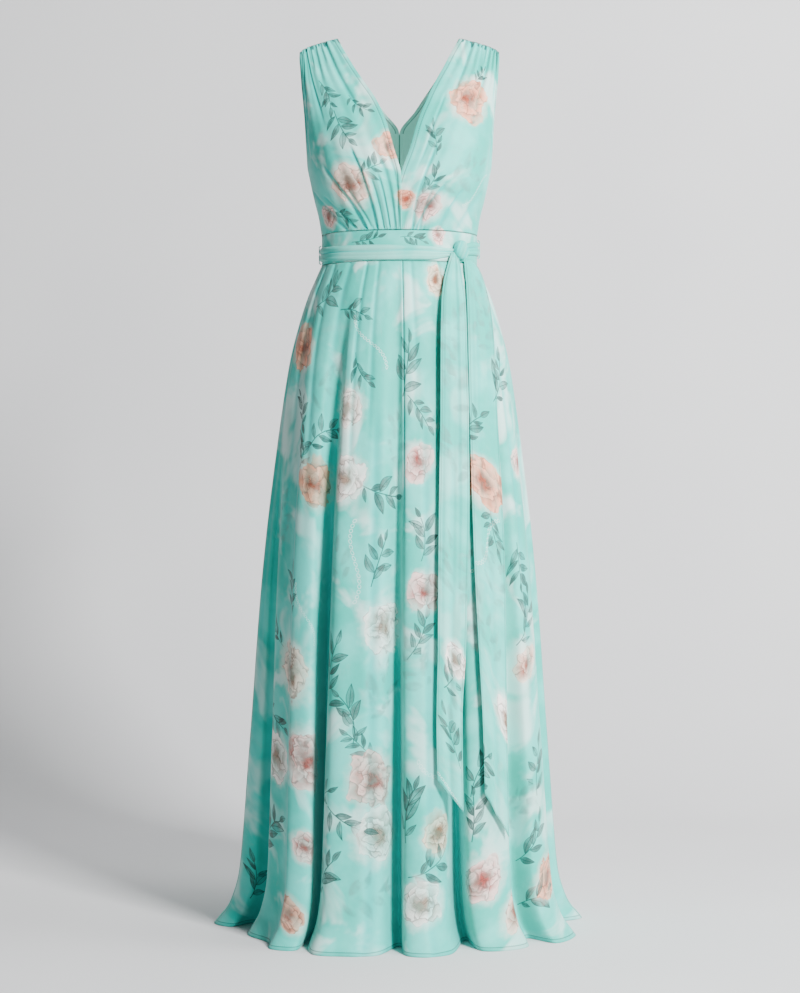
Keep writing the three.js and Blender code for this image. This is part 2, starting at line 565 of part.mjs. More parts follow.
/** A thread loop over the belt at a side seam. */
function beltLoop(name, turn) {
  const middle = (beltPlace(turn, 0).drop + beltPlace(turn, 1).drop) / 2;
  const foot = LOOP.thick;
  const outline = [
    [-LOOP.tall / 2, ON_CLOTH], [-LOOP.tall / 2, ON_CLOTH + foot], [-LOOP.tall / 2 + foot, LOOP.stand],
    [LOOP.tall / 2 - foot, LOOP.stand], [LOOP.tall / 2, ON_CLOTH + foot], [LOOP.tall / 2, ON_CLOTH],
  ];
  const inward = [
    [-LOOP.tall / 2 + foot, ON_CLOTH], [-LOOP.tall / 2 + foot, ON_CLOTH + foot / 2],
    [-LOOP.tall / 2 + foot, LOOP.stand - SEWN_THICKNESS / 2],
    [LOOP.tall / 2 - foot, LOOP.stand - SEWN_THICKNESS / 2],
    [LOOP.tall / 2 - foot, ON_CLOTH + foot / 2], [LOOP.tall / 2 - foot, ON_CLOTH],
  ];
  const halfTurn = THREE.MathUtils.radToDeg(LOOP.wide / 2 / WAIST_DEEP);
  const strip = (edge) => edge.map(([below, out]) => [-halfTurn, halfTurn].map((side) => (
    waistPoint(turn + side, middle + below, out)
  )));
  return piece(name, solidBetween(strip(outline), strip(inward), false), DEEP_AQUA);
}

const overFront = {
  neck: NECK_OVER, gathers: GATHERS_OVER, columns: FRONT_COLUMNS, hand: -1, back: false,
};
const underFront = {
  neck: NECK_UNDER, gathers: GATHERS_UNDER, columns: FRONT_COLUMNS, hand: 1, back: false,
};
const back = { neck: NECK_BACK, gathers: GATHERS_BACK, columns: BACK_COLUMNS, back: true };

const group = new THREE.Group();
group.name = 'maxi_dress';
group.add(
  bodicePanel('bodice_front_right', overFront, AQUA),
  bodicePanel('bodice_front_left', underFront, AQUA),
  bodicePanel('bodice_back_right', { ...back, hand: -1 }, DEEP_AQUA),
  bodicePanel('bodice_back_left', { ...back, hand: 1 }, DEEP_AQUA),
  waistbandPart('waistband_front', -90, 90),
  waistbandPart('waistband_back_left', 90, 180),
  waistbandPart('waistband_back_right', 180, 270),
  ...skirtPanels([
    { name: 'skirt_front', first: 'left side ridge', last: 'right side ridge', colour: AQUA },
    { name: 'skirt_back_left', first: 'right side ridge', last: 'centre back', colour: DEEP_AQUA },
    { name: 'skirt_back_right', first: 'centre back', last: 'left side ridge', colour: DEEP_AQUA },
  ]),
  sashBelt(),
  sashKnot(),
  sashTail('sash_tail_left', TAIL_LEFT, TAIL_LEFT_SHORT),
  sashTail('sash_tail_right', TAIL_RIGHT, TAIL_RIGHT_SHORT),
  beltLoop('belt_loop_right', -90),
  beltLoop('belt_loop_left', 90),
);

export default group;
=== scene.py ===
import logging
import math
from dataclasses import dataclass, field
from enum import Enum
from typing import Any, NamedTuple, Optional, Sequence

import bpy
import numpy as np
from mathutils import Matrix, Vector


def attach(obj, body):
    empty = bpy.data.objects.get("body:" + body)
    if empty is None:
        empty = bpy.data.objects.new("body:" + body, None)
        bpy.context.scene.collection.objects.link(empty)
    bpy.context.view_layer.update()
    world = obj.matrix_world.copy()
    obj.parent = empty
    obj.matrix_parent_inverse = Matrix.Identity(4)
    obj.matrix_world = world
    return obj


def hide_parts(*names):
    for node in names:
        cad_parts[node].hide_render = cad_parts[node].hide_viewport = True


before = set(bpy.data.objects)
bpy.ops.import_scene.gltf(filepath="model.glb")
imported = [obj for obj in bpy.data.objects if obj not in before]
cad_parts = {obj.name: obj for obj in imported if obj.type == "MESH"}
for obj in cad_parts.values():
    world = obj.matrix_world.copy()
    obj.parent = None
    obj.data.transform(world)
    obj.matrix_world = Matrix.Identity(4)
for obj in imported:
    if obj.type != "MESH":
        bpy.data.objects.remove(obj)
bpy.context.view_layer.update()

LOG = logging.getLogger("maxi_dress")
METRES = 0.001

SHELL = 0.9
TAIL_SHELL = 0.7
SEAM = 0.3
ON_CLOTH = 0.4
WAIST_DROP = 318.0
SKIRT_DROP = 368.0
HEM_DROP = 1442.0
WAIST_HALF = 127.5
WAIST_DEEP = 92.0
BUST_PART = 0.4
HIGH_PART = 0.82
UNDERARM_PART = 0.58
BACK_NECK_PART = 0.47
WAIST_CROWDING = 0.9
CROWDING_BEND = 2.2
TUCK_EASES = 0.11
TUCK_ENDS = 0.32
FOLD_GROWTH = 0.75
EDGE_BAND = 6.0
HEM_TURN = 5.0
SEAM_REACH = 2.0
SASH_TURN = 3.5
FOOT_SHADE = 0.46
FAR = 99.0
OUTSIDE_MOTIF = 9.0
MOTIF_REACH = 1.3
OFF_CLOTH = 0.6
OFF_TAIL = 6.0
ROSE_LAYERS = 2
LEAF_LAYERS = 3
STEM_LAYERS = 2
STEM_BEND = 0.7
SOFT_SPRAY = 1.0
FIRST_STITCHED_ROW = 3
LAST_NECK_ROW = 74
LAST_BACK_NECK_ROW = 50
LAST_ARMHOLE_ROW = 58


class NeckRow(NamedTuple):
    """A neck edge at one part of a panel: its place, and how far it lies under the other panel."""

    part: float
    drop: float
    x: float
    y: float
    tuck: float = 0


class SideRow(NamedTuple):
    """The armhole edge and side seam at one part, and how far the panels swell between their edges."""

    part: float
    drop: float
    x: float
    front_y: float
    back_y: float
    front_full: float
    back_full: float


class Gather(NamedTuple):
    """How far one gather stands proud from the shoulder to the waist seam."""

    shoulder: float
    bust: float
    high: float
    waist: float


class SkirtRow(NamedTuple):
    """Half width and half depth of the skirt at a drop."""

    drop: float
    half: float
    deep: float


class Fold(NamedTuple):
    """A bend of the skirt: its turn at the waist and its place at the hem, in shares of the skirt's size."""

    top: float
    across: float
    front: float
    start: float = 0


class BeltRow(NamedTuple):
    """Upper and lower edge of the sash belt at a turn."""

    turn: float
    top: float
    bottom: float


class ProfileRow(NamedTuple):
    """How far the belt stands out at a share of its height."""

    share: float
    out: float


class TailRow(NamedTuple):
    """Edges of a sash tail at a drop, its distance from the skirt's outline and its lengthwise roll."""

    drop: float
    left: float
    right: float
    out: float
    roll: float


class Crease(NamedTuple):
    """A soft trough from one place of a piece to another, or a ridge where its depth is negative."""

    across: float
    part: float
    to_across: float
    to_part: float
    width: float
    depth: float
    lean: float = 1.0


class Motif(NamedTuple):
    """A printed motif, at the place of the dress where it is seen from the front or from the back."""

    x: float
    drop: float
    radius: float
    turn: float
    tint: float


class Mark(NamedTuple):
    """A motif on the flat cloth, with its turn in radians."""

    x: float
    y: float
    radius: float
    turn: float
    tint: float


NECK_OVER = (
    NeckRow(0, -7, 103, 0.15), NeckRow(0.08, 20, 89, 25), NeckRow(0.17, 48, 74, 46),
    NeckRow(0.26, 78, 56, 66), NeckRow(0.35, 108, 37.5, 84), NeckRow(0.47, 147, 21, 102),
    NeckRow(0.6, 190, 9, 114), NeckRow(0.73, 235, -3, 117), NeckRow(0.83, 262, -4, 112),
    NeckRow(0.92, 290, -4, 102), NeckRow(1, 318, -4, 92),
)
NECK_UNDER = (
    NeckRow(0, -7, 98, 0.15), NeckRow(0.08, 20, 85, 25), NeckRow(0.17, 48, 72, 46),
    NeckRow(0.26, 78, 57, 66), NeckRow(0.35, 108, 44, 84), NeckRow(0.47, 147, 29, 102, 0.5),
    NeckRow(0.6, 190, 17, 114, 2.4), NeckRow(0.73, 235, 1, 117, 4), NeckRow(0.83, 262, -6, 112, 4.4),
    NeckRow(0.92, 290, -8, 102, 4.2), NeckRow(1, 318, -8, 92, 3.4),
)
NECK_BACK = (
    NeckRow(0, -7, 101, 0.15), NeckRow(0.08, 14, 87, 27), NeckRow(0.17, 38, 70, 50),
    NeckRow(0.26, 66, 49, 69), NeckRow(0.35, 98, 26, 83), NeckRow(0.47, 134, 0.15, 93),
    NeckRow(0.6, 176, 0.15, 100), NeckRow(0.73, 217, 0.15, 101), NeckRow(0.83, 252, 0.15, 98),
    NeckRow(0.92, 286, 0.15, 94), NeckRow(1, 318, 0.15, 92),
)
SIDE_EDGE = (
    SideRow(0, 18, 164, 0.15, 0.15, 0, 0), SideRow(0.08, 44, 162, 15, 15, 0, 1),
    SideRow(0.17, 76, 159.5, 28, 29, 2, 3), SideRow(0.26, 106, 156.5, 36, 37, 4, 5),
    SideRow(0.35, 136, 154, 37, 38, 7, 6), SideRow(0.47, 170, 152.5, 25, 26, 11, 6),
    SideRow(0.6, 200, 151.5, 0.15, 0.15, 15, 4), SideRow(0.73, 235, 145, 0.15, 0.15, 15, 2),
    SideRow(0.83, 262, 139, 0.15, 0.15, 10, 0), SideRow(0.92, 290, 132, 0.15, 0.15, 4, 0),
    SideRow(1, 318, 127.5, 0.15, 0.15, 0, 0),
)
GATHERS_OVER = (
    Gather(1.6, 2.4, 3.2, 1.2), Gather(2.4, 1.6, 4.0, 1.6), Gather(2.2, 2.2, 4.4, 1.8),
    Gather(2.8, 1.2, 3.6, 1.6), Gather(2.4, 1.8, 3.8, 1.6), Gather(2.8, 1.0, 2.6, 1.2),
    Gather(2.2, 1.4, 1.6, 0.8), Gather(2.6, 0.8, 0.8, 0.4), Gather(1.6, 0.6, 0.2, 0),
)
GATHERS_UNDER = (
    Gather(1.8, 1.8, 0.8, 0.4), Gather(2.2, 2.4, 1.2, 0.6), Gather(2.6, 1.4, 2.6, 1.2),
    Gather(2.2, 2.0, 3.4, 1.6), Gather(2.8, 1.2, 2.8, 1.2), Gather(2.4, 1.6, 1.8, 0.8),
    Gather(2.8, 0.8, 1.2, 0.6), Gather(2.2, 1.0, 0.6, 0.2), Gather(1.6, 0.4, 0.2, 0),
)
GATHERS_BACK = (
    Gather(1.8, 1.4, 1.8, 0.6), Gather(2.4, 1.2, 2.6, 1.2), Gather(2.6, 1.4, 2.8, 1.2),
    Gather(2.4, 0.9, 2.2, 1.0), Gather(2.6, 0.8, 1.2, 0.6), Gather(1.6, 0.5, 0.4, 0),
)
SKIRT = (
    SkirtRow(368, 128.5, 93), SkirtRow(392, 139, 101), SkirtRow(415, 149, 109), SkirtRow(461, 164, 121),
    SkirtRow(520, 179, 134), SkirtRow(586, 190, 146), SkirtRow(704, 206, 165), SkirtRow(805, 218, 181),
    SkirtRow(923, 229, 198), SkirtRow(1094, 241, 218), SkirtRow(1189, 248, 227),
    SkirtRow(1300, 256, 233), SkirtRow(1360, 262, 238), SkirtRow(1409, 277, 248),
    SkirtRow(1442, 302, 271),
)
# The folds in order round the body from the left side ridge. Those of the front panel come first.
FOLDS = (
    Fold(-88, -1.0, 0.07), Fold(-82, -0.9, 0.17), Fold(-76, -0.785, 0.06, 0.2),
    Fold(-70, -0.8, 0.4, 0.1), Fold(-63, -0.69, 0.6), Fold(-58, -0.66, 0.79), Fold(-45, -0.53, 0.83),
    Fold(-32, -0.46, 0.32, 0.05), Fold(-27, -0.44, 0.93, 0.2), Fold(-18, -0.29, 0.985),
    Fold(-8, -0.12, 0.97), Fold(-1, 0.0, 0.725), Fold(2.5, 0.035, 0.97), Fold(9, 0.14, 1.01),
    Fold(17, 0.26, 0.93), Fold(24, 0.345, 0.56), Fold(30, 0.42, 0.84), Fold(38, 0.55, 0.83),
    Fold(45, 0.66, 0.73), Fold(51, 0.67, 0.5, 0.05), Fold(59, 0.81, 0.63), Fold(69, 0.93, 0.41),
    Fold(79, 0.85, 0.06, 0.2), Fold(89, 1.0, -0.1), Fold(101, 0.93, -0.33), Fold(111, 0.74, -0.36, 0.05),
    Fold(121, 0.8, -0.62), Fold(132, 0.65, -0.77), Fold(141, 0.5, -0.5), Fold(149, 0.45, -0.88),
    Fold(160, 0.29, -0.96), Fold(169, 0.17, -0.64), Fold(174, 0.12, -0.97), Fold(180, 0.0, -1.0),
    Fold(187, -0.12, -0.95), Fold(194, -0.19, -0.6), Fold(201, -0.27, -0.94), Fold(212, -0.44, -0.9),
    Fold(221, -0.49, -0.48), Fold(231, -0.62, -0.79), Fold(242, -0.77, -0.66),
    Fold(251, -0.73, -0.34, 0.05), Fold(261, -0.92, -0.3),
)
RIGHT_SIDE_FOLD = 23
CENTRE_BACK_FOLD = 33
BELT = (
    BeltRow(-90, 338, 360), BeltRow(-45, 341, 365), BeltRow(-8, 342, 366.5), BeltRow(20, 343.5, 366),
    BeltRow(40, 346, 359), BeltRow(51, 340, 355), BeltRow(62, 334, 354), BeltRow(90, 328, 351),
    BeltRow(180, 326, 352), BeltRow(270, 338, 360),
)
BELT_PROFILE = (
    ProfileRow(0, 0.9), ProfileRow(0.07, 2.2), ProfileRow(0.2, 3.2), ProfileRow(0.36, 2.2),
    ProfileRow(0.42, 1.7), ProfileRow(0.55, 2.9), ProfileRow(0.68, 2.5), ProfileRow(0.8, 3.3),
    ProfileRow(0.94, 2.4), ProfileRow(1, 0.9),
)
TAIL_LEFT = (
    TailRow(353, 81, 91.5, 5.2, 0), TailRow(363, 78, 93, 5.2, 1), TailRow(378, 74, 96, 5, 2.5),
    TailRow(400, 69, 99, 5, 3), TailRow(435, 65, 103, 6, 3), TailRow(500, 63, 104, 8, 2.5),
    TailRow(620, 62, 106, 9, 2), TailRow(740, 60, 106, 9, 2.5), TailRow(860, 58, 103, 10, 2),
    TailRow(980, 57, 100, 10, 2.5), TailRow(1090, 55, 94, 10, 2), TailRow(1230, 58, 95, 10, 1.5),
)
TAIL_RIGHT = (
    TailRow(362.6, 101, 115, 4.8, 0), TailRow(372, 102, 124, 4.6, 1.5), TailRow(388, 103.5, 132, 4.2, 2.5),
    TailRow(410, 105, 138, 4.2, 3), TailRow(440, 106, 144, 4.5, 2.5), TailRow(500, 107, 149, 5, 2),
    TailRow(620, 108.5, 153, 6, 2.5), TailRow(740, 111, 158, 7, 2), TailRow(860, 114, 161, 8, 2.5),
    TailRow(980, 119, 162, 9, 2), TailRow(1090, 125, 163, 9, 2), TailRow(1275, 130, 165, 9, 1.5),
)
TAIL_LEFT_SHORT = 1181.0
TAIL_RIGHT_SHORT = 1205.0
TAIL_CREASES = (
    Crease(0.3, 0.0, 0.22, 0.5, 0.07, 1.6), Crease(0.62, 0.0, 0.7, 0.75, 0.06, 1.4),
    Crease(0.82, 0.02, 0.86, 0.4, 0.05, 1.2), Crease(0.45, 0.35, 0.5, 1.0, 0.08, 1.3),
    Crease(0.12, 0.1, 0.12, 0.8, 0.05, 0.9),
)

# Creases of the skirt, placed across in folds counted from the left side ridge.
SKIRT_CREASES = (
    Crease(0.5, 0.15, 0.5, 0.9, 0.25, 1.6), Crease(1.5, 0.3, 1.5, 1.0, 0.25, 2.0),
    Crease(3.4, 0.0, 3.4, 0.55, 0.3, 1.6, 0.5), Crease(4.5, 0.25, 4.45, 1.0, 0.3, 2.0),
    Crease(5.3, 0.0, 5.45, 0.45, 0.2, 1.6, 0.5), Crease(6.5, 0.0, 6.3, 0.42, 0.25, 2.0, 0.6),
    Crease(6.45, 0.5, 6.4, 1.0, 0.2, 2.2), Crease(8.35, 0.0, 8.5, 0.38, 0.18, 2.4, 0.4),
    Crease(9.3, 0.0, 9.35, 0.3, 0.16, 2.0, 0.5), Crease(9.65, 0.2, 9.6, 1.0, 0.28, 2.4, 0.5),
    Crease(11.85, 0.0, 11.8, 0.5, 0.16, 3.0, 0.4), Crease(12.9, 0.0, 13.0, 0.24, 0.2, 1.4),
    Crease(13.35, 0.22, 13.3, 1.0, 0.24, 2.2, 0.6), Crease(15.8, 0.0, 15.75, 0.35, 0.2, 2.2, 0.5),
    Crease(17.2, 0.1, 17.25, 0.95, 0.2, 1.8), Crease(18.9, 0.0, 18.9, 0.3, 0.25, 1.5),
    Crease(20.45, 0.04, 20.4, 0.85, 0.22, 2.2, 0.6), Crease(21.5, 0.35, 21.5, 1.0, 0.18, 1.8),
    Crease(22.4, 0.0, 22.5, 0.6, 0.25, 1.6), Crease(24.4, 0.0, 24.4, 0.8, 0.25, 2.2, 0.6),
    Crease(26.5, 0.0, 26.5, 0.6, 0.22, 2.0), Crease(27.4, 0.3, 27.3, 1.0, 0.2, 2.2),
    Crease(29.5, 0.0, 29.5, 0.45, 0.2, 2.2, 0.5), Crease(30.4, 0.2, 30.3, 1.0, 0.2, 2.0),
    Crease(32.5, 0.0, 32.5, 0.5, 0.2, 1.8), Crease(34.4, 0.0, 34.4, 0.55, 0.2, 2.0),
    Crease(36.5, 0.0, 36.6, 0.8, 0.22, 2.4, 0.6), Crease(37.4, 0.0, 37.3, 0.35, 0.18, 2.0),
    Crease(39.5, 0.05, 39.5, 0.9, 0.24, 2.4, 0.5), Crease(40.4, 0.3, 40.3, 1.0, 0.2, 2.0),
    Crease(41.6, 0.1, 41.6, 0.7, 0.25, 1.8),
)
# Creases of the front bodice panels, from the neck edge at 0 to the side at 1.
OVER_CREASES = (
    Crease(0.95, 0.05, 0.9, 0.62, 0.06, 2.6, 0.5), Crease(0.78, 0.12, 0.86, 0.5, 0.035, 1.8, 0.5),
    Crease(0.69, 0.66, 0.5, 1.0, 0.024, 4.0, 0.35), Crease(0.4, 0.58, 0.41, 1.0, 0.022, 3.4, 0.4),
    Crease(0.344, 0.74, 0.347, 1.0, 0.016, 2.8, 0.5), Crease(0.274, 0.72, 0.277, 1.0, 0.016, 2.8, 0.5),
    Crease(0.95, 0.76, 0.66, 1.0, 0.028, 2.6, 0.4), Crease(0.2, 0.62, 0.2, 1.0, 0.02, 1.8),
    Crease(0.1, 0.55, 0.12, 1.0, 0.018, 1.6), Crease(0.56, 0.8, 0.455, 1.0, 0.016, 2.2, 0.5),
    Crease(0.8, 0.82, 0.58, 1.0, 0.018, 2.0, 0.5),
    Crease(0.2, 0.0, 0.22, 0.46, 0.03, 2.2, 0.5), Crease(0.62, 0.0, 0.58, 0.5, 0.035, 2.4, 0.5),
    Crease(0.4, 0.0, 0.44, 0.24, 0.024, 1.8), Crease(0.82, 0.0, 0.86, 0.3, 0.025, 1.6),
    Crease(0.51, 0.0, 0.52, 0.16, 0.018, 1.4), Crease(0.3, 0.0, 0.31, 0.14, 0.018, 1.4),
    Crease(0.72, 0.0, 0.74, 0.14, 0.018, 1.4), Crease(0.92, 0.34, 0.84, 0.66, 0.03, 1.8),
)
UNDER_CREASES = (
    Crease(0.265, 0.58, 0.34, 1.0, 0.02, 2.8, 0.4), Crease(0.507, 0.76, 0.37, 1.0, 0.018, 3.0, 0.4),
    Crease(0.654, 0.8, 0.558, 1.0, 0.02, 2.6, 0.4), Crease(0.16, 0.3, 0.2, 0.75, 0.018, 1.8, 0.5),
    Crease(0.42, 0.72, 0.41, 1.0, 0.016, 2.2, 0.5), Crease(0.86, 0.78, 0.7, 1.0, 0.024, 1.6),
    Crease(0.22, 0.0, 0.25, 0.4, 0.028, 2.0, 0.5), Crease(0.56, 0.0, 0.52, 0.42, 0.03, 2.0, 0.5),
    Crease(0.4, 0.0, 0.42, 0.2, 0.022, 1.7), Crease(0.78, 0.0, 0.84, 0.34, 0.026, 1.8),
    Crease(0.31, 0.0, 0.32, 0.13, 0.018, 1.4), Crease(0.66, 0.0, 0.67, 0.15, 0.018, 1.5),
    Crease(0.48, 0.0, 0.49, 0.12, 0.016, 1.3), Crease(0.92, 0.36, 0.84, 0.7, 0.03, 1.6),
)
BACK_CREASES = (
    Crease(0.14, 0.0, 0.2, 0.42, 0.03, 1.8, 0.5), Crease(0.36, 0.0, 0.44, 0.3, 0.025, 1.7),
    Crease(0.6, 0.0, 0.7, 0.4, 0.03, 1.8, 0.5), Crease(0.82, 0.0, 0.9, 0.22, 0.02, 1.4),
    Crease(0.2, 0.6, 0.15, 1.0, 0.024, 2.4, 0.5), Crease(0.42, 0.52, 0.3, 1.0, 0.026, 2.8, 0.4),
    Crease(0.6, 0.66, 0.44, 1.0, 0.024, 2.4, 0.5), Crease(0.82, 0.7, 0.6, 1.0, 0.026, 2.0, 0.5),
)
# How much of a gather's height shows in thin cloth, from the shoulder at 0 to the waist at 1
CALM_PARTS = (0.0, 0.035, 0.1, 0.3, 0.6, 0.84, 1.0)
CALM_SHARES = (0.1, 0.75, 0.72, 0.35, 0.28, 0.5, 0.9)
ROSES_FRONT = (
    Motif(113, 107, 46, 20, 0.12), Motif(-80, 248, 42, 200, 0.5), Motif(-17, 190, 26, 60, 0.15),
    Motif(46, 280, 30, 120, 0.35), Motif(-116, 292, 22, 300, 0.3), Motif(10, 272, 20, 10, 0.05),
    Motif(-156, 505, 42, 80, 0.1), Motif(-85, 606, 42, 30, 0.8), Motif(-133, 726, 46, 150, 0.12),
    Motif(-88, 716, 44, 260, 0.85), Motif(30, 690, 34, 340, 0.4), Motif(134, 722, 46, 45, 0.15),
    Motif(42, 892, 36, 100, 0.42), Motif(-22, 946, 46, 220, 0.95), Motif(-176, 1020, 54, 10, 0.75),
    Motif(-143, 1154, 54, 130, 0.3), Motif(-198, 1160, 44, 70, 0.95), Motif(-38, 1182, 50, 290, 0.28),
    Motif(-28, 1268, 50, 170, 0.9), Motif(-145, 1290, 30, 50, 0.35), Motif(34, 1368, 42, 80, 0.85),
    Motif(128, 1338, 44, 200, 0.35), Motif(170, 1090, 36, 20, 0.9), Motif(236, 1346, 40, 310, 0.18),
    Motif(-172, 1392, 34, 140, 0.2), Motif(64, 1262, 36, 250, 0.7), Motif(182, 1392, 36, 90, 0.5),
    Motif(60, 398, 30, 30, 0.6), Motif(62, 326, 16, 0, 0.4), Motif(86, 1000, 30, 70, 0.9),
    Motif(196, 690, 30, 110, 0.4), Motif(205, 1010, 34, 70, 0.5),
)
SPRAYS_FRONT = (
    Motif(-92, 150, 34, -60, 0.3), Motif(-122, 96, 32, -75, 0.8), Motif(-66, 112, 24, -50, 0.15),
    Motif(42, 250, 28, 65, 0.1), Motif(-52, 226, 26, 20, 0.5), Motif(-92, 296, 22, -30, 0.9),
    Motif(128, 66, 22, 60, 0.4), Motif(100, 232, 42, 30, 1.4), Motif(60, 180, 24, 100, 0.6),
    Motif(-120, 418, 40, 35, 0.2), Motif(-78, 452, 34, -10, 0.7), Motif(8, 545, 46, 80, 0.4),
    Motif(30, 610, 34, -50, 0.6), Motif(-120, 655, 38, 25, 0.9), Motif(-32, 735, 40, -15, 0.35),
    Motif(-158, 672, 30, 70, 0.25), Motif(34, 812, 36, 95, 0.15), Motif(-32, 850, 40, 70, 0.55),
    Motif(26, 966, 36, 66, 0.25), Motif(-108, 1015, 44, 75, 0.65), Motif(-206, 1092, 40, -35, 0.45),
    Motif(-84, 1090, 40, 110, 0.05), Motif(16, 1236, 44, 85, 0.75), Motif(-84, 1240, 38, -30, 0.3),
    Motif(-206, 1288, 44, 40, 0.95), Motif(-240, 1368, 36, 60, 0.15), Motif(-120, 1335, 40, 50, 0.6),
    Motif(44, 1310, 38, 30, 0.2), Motif(132, 1174, 42, 70, 0.85), Motif(112, 1245, 38, 100, 0.4),
    Motif(200, 940, 44, 80, 0.1), Motif(192, 850, 36, -70, 0.5), Motif(222, 1180, 40, 95, 0.7),
    Motif(160, 560, 38, 70, 0.25), Motif(118, 640, 34, 60, 0.9), Motif(150, 792, 32, -80, 0.35),
    Motif(84, 1120, 36, 120, 0.6), Motif(200, 1290, 38, 60, 0.05), Motif(-176, 905, 36, 80, 0.5),
    Motif(-60, 540, 30, -60, 0.15), Motif(-160, 610, 28, 100, 0.2), Motif(-198, 960, 30, 120, 0.85),
    Motif(-60, 1130, 30, 140, 0.45), Motif(-120, 1210, 32, 20, 0.55), Motif(80, 1020, 34, 60, 0.3),
    Motif(-34, 1060, 44, 60, 1.3), Motif(36, 1020, 40, 120, 1.6), Motif(-120, 560, 44, 20, 1.2),
    Motif(150, 880, 46, 80, 1.5), Motif(70, 480, 40, 40, 1.3), Motif(-190, 800, 40, 70, 1.7),
    Motif(180, 1230, 44, 30, 1.4), Motif(-10, 660, 36, 70, 1.2), Motif(-60, 1360, 44, 10, 1.6),
    Motif(130, 420, 36, 60, 1.3), Motif(-100, 850, 40, 110, 1.4), Motif(210, 1380, 36, 20, 0.65),
    Motif(84, 570, 52, 80, 1.35), Motif(86, 880, 50, 100, 1.5), Motif(132, 480, 40, 60, 1.2),
    Motif(84, 1080, 44, 70, 1.3), Motif(140, 960, 44, 110, 1.6), Motif(-56, 333, 24, 8, 0.4),
    Motif(20, 334, 20, -10, 0.8), Motif(84, 690, 40, 95, 1.1),
)
CHAINS_FRONT = (
    Motif(-46, 500, 58, -60, 0), Motif(-70, 846, 66, 80, 0), Motif(140, 815, 56, 50, 0),
    Motif(128, 250, 40, 40, 0), Motif(-150, 930, 50, 90, 0), Motif(70, 1180, 60, -40, 0),
)
BACK_ROSES = 26
BACK_SPRAYS = 44
BACK_CHAINS = 6

# Colours of the cloth, its print, its sewing, its painted fold shade and glow, and the studio, as sRGB
AQUA = "#22BDAC"
LIGHT_AQUA = "#58D4C6"
# Painted shade tints cloth deep in a fold, and a painted glow brightens a fold's bottom.
PAINTED_SHADE_TEAL = "#50D6D2"
PAINTED_GLOW = "#08DCD8"
MIST = "#D4F0EA"
SMUDGE = "#86B5AA"
PEACH = "#F6A98A"
PEACH_DEEP = "#A04A33"
BLUSH = "#F7CFC8"
BLUSH_DEEP = "#A24640"
BEIGE = "#F2D3B8"
BEIGE_DEEP = "#8A5030"
CREAM = "#FBF5EE"
CREAM_DEEP = "#9C8272"
INK = "#3F332E"
LEAF = "#2B4C47"
LEAF_PALE = "#6B918A"
LEAF_LINE = "#0F302A"
BUBBLE = "#E4F5F0"
# The lining's pale colour is painted light, standing in for light that comes through the chiffon.
PAINTED_LIT_LINING = "#C2F4EB"
SEAM_DARK_AND_PINCH_SHADE = "#17443E"
PAPER = "#D4D4D6"
PAPER_PALE = "#D9D9DA"
STUDIO_AIR = "#F2F4F6"


def linear(colour: str) -> tuple[float, float, float, float]:
    """Linear RGBA of an sRGB colour.

    Args:
        colour: The colour as a hash and six hexadecimal digits.

    Returns:
        Red, green, blue and alpha.
    """
    parts = [int(colour[i:i + 2], 16) / 255 for i in (1, 3, 5)]
    red, green, blue = (p / 12.92 if p <= 0.04045 else ((p + 0.055) / 1.055) ** 2.4 for p in parts)
    return red, green, blue, 1.0


def read_rows(rows: Sequence[NamedTuple], column: str, at: Any) -> np.ndarray:
    """Values of a table's column between its rows, on a smooth curve that never overshoots them.

    Args:
        rows: The table, in rising order of its first column.
        column: Name of the column to read.
        at: Places along the first column.

    Returns:
        The column's value at each place.
    """
    places = np.array([row[0] for row in rows], dtype=float)
    values = np.array([getattr(row, column) for row in rows], dtype=float)
    spans = np.diff(places)
    grades = np.diff(values) / spans
    before, after = grades[:-1], grades[1:]
    agree = before * after > 0
    total = np.where(agree, before + after, 1.0)
    inner = np.where(agree, 2 * before * after / total, 0.0)
    slopes = np.concatenate([grades[:1], inner, grades[-1:]])
    place = np.clip(np.asarray(at, dtype=float), places[0], places[-1])
    index = np.clip(np.searchsorted(places, place) - 1, 0, len(spans) - 1)
    t = (place - places[index]) / spans[index]
    rise = values[index + 1] - values[index]
    bend = (slopes[index] * (1 - t) - slopes[index + 1] * t) * spans[index] - rise * (1 - 2 * t)
    return values[index] + rise * t + t * (1 - t) * bend


def smoothstep(value: Any, low: float, high: float) -> np.ndarray:
    """A value's smooth step from 0 at low to 1 at high."""
    t = np.clip((np.asarray(value, dtype=float) - low) / (high - low), 0, 1)
    return t * t * (3 - 2 * t)


def unit(vectors: np.ndarray) -> np.ndarray:
    """Vectors at length one."""
    return vectors / np.maximum(np.linalg.norm(vectors, axis=-1, keepdims=True), 1e-9)


def grid_normals(points: np.ndarray, closed: bool = False) -> np.ndarray:
    """Unit normals of a grid, facing out where its columns run to the right as seen from outside.

    Args:
        points: Rows of points.
        closed: Whether the last column runs on into the first.

    Returns:
        A normal for each point.
    """
    if closed:
        along = np.roll(points, -1, axis=1) - np.roll(points, 1, axis=1)
    else:
        along = np.gradient(points, axis=1)
    return unit(np.cross(np.gradient(points, axis=0), along))


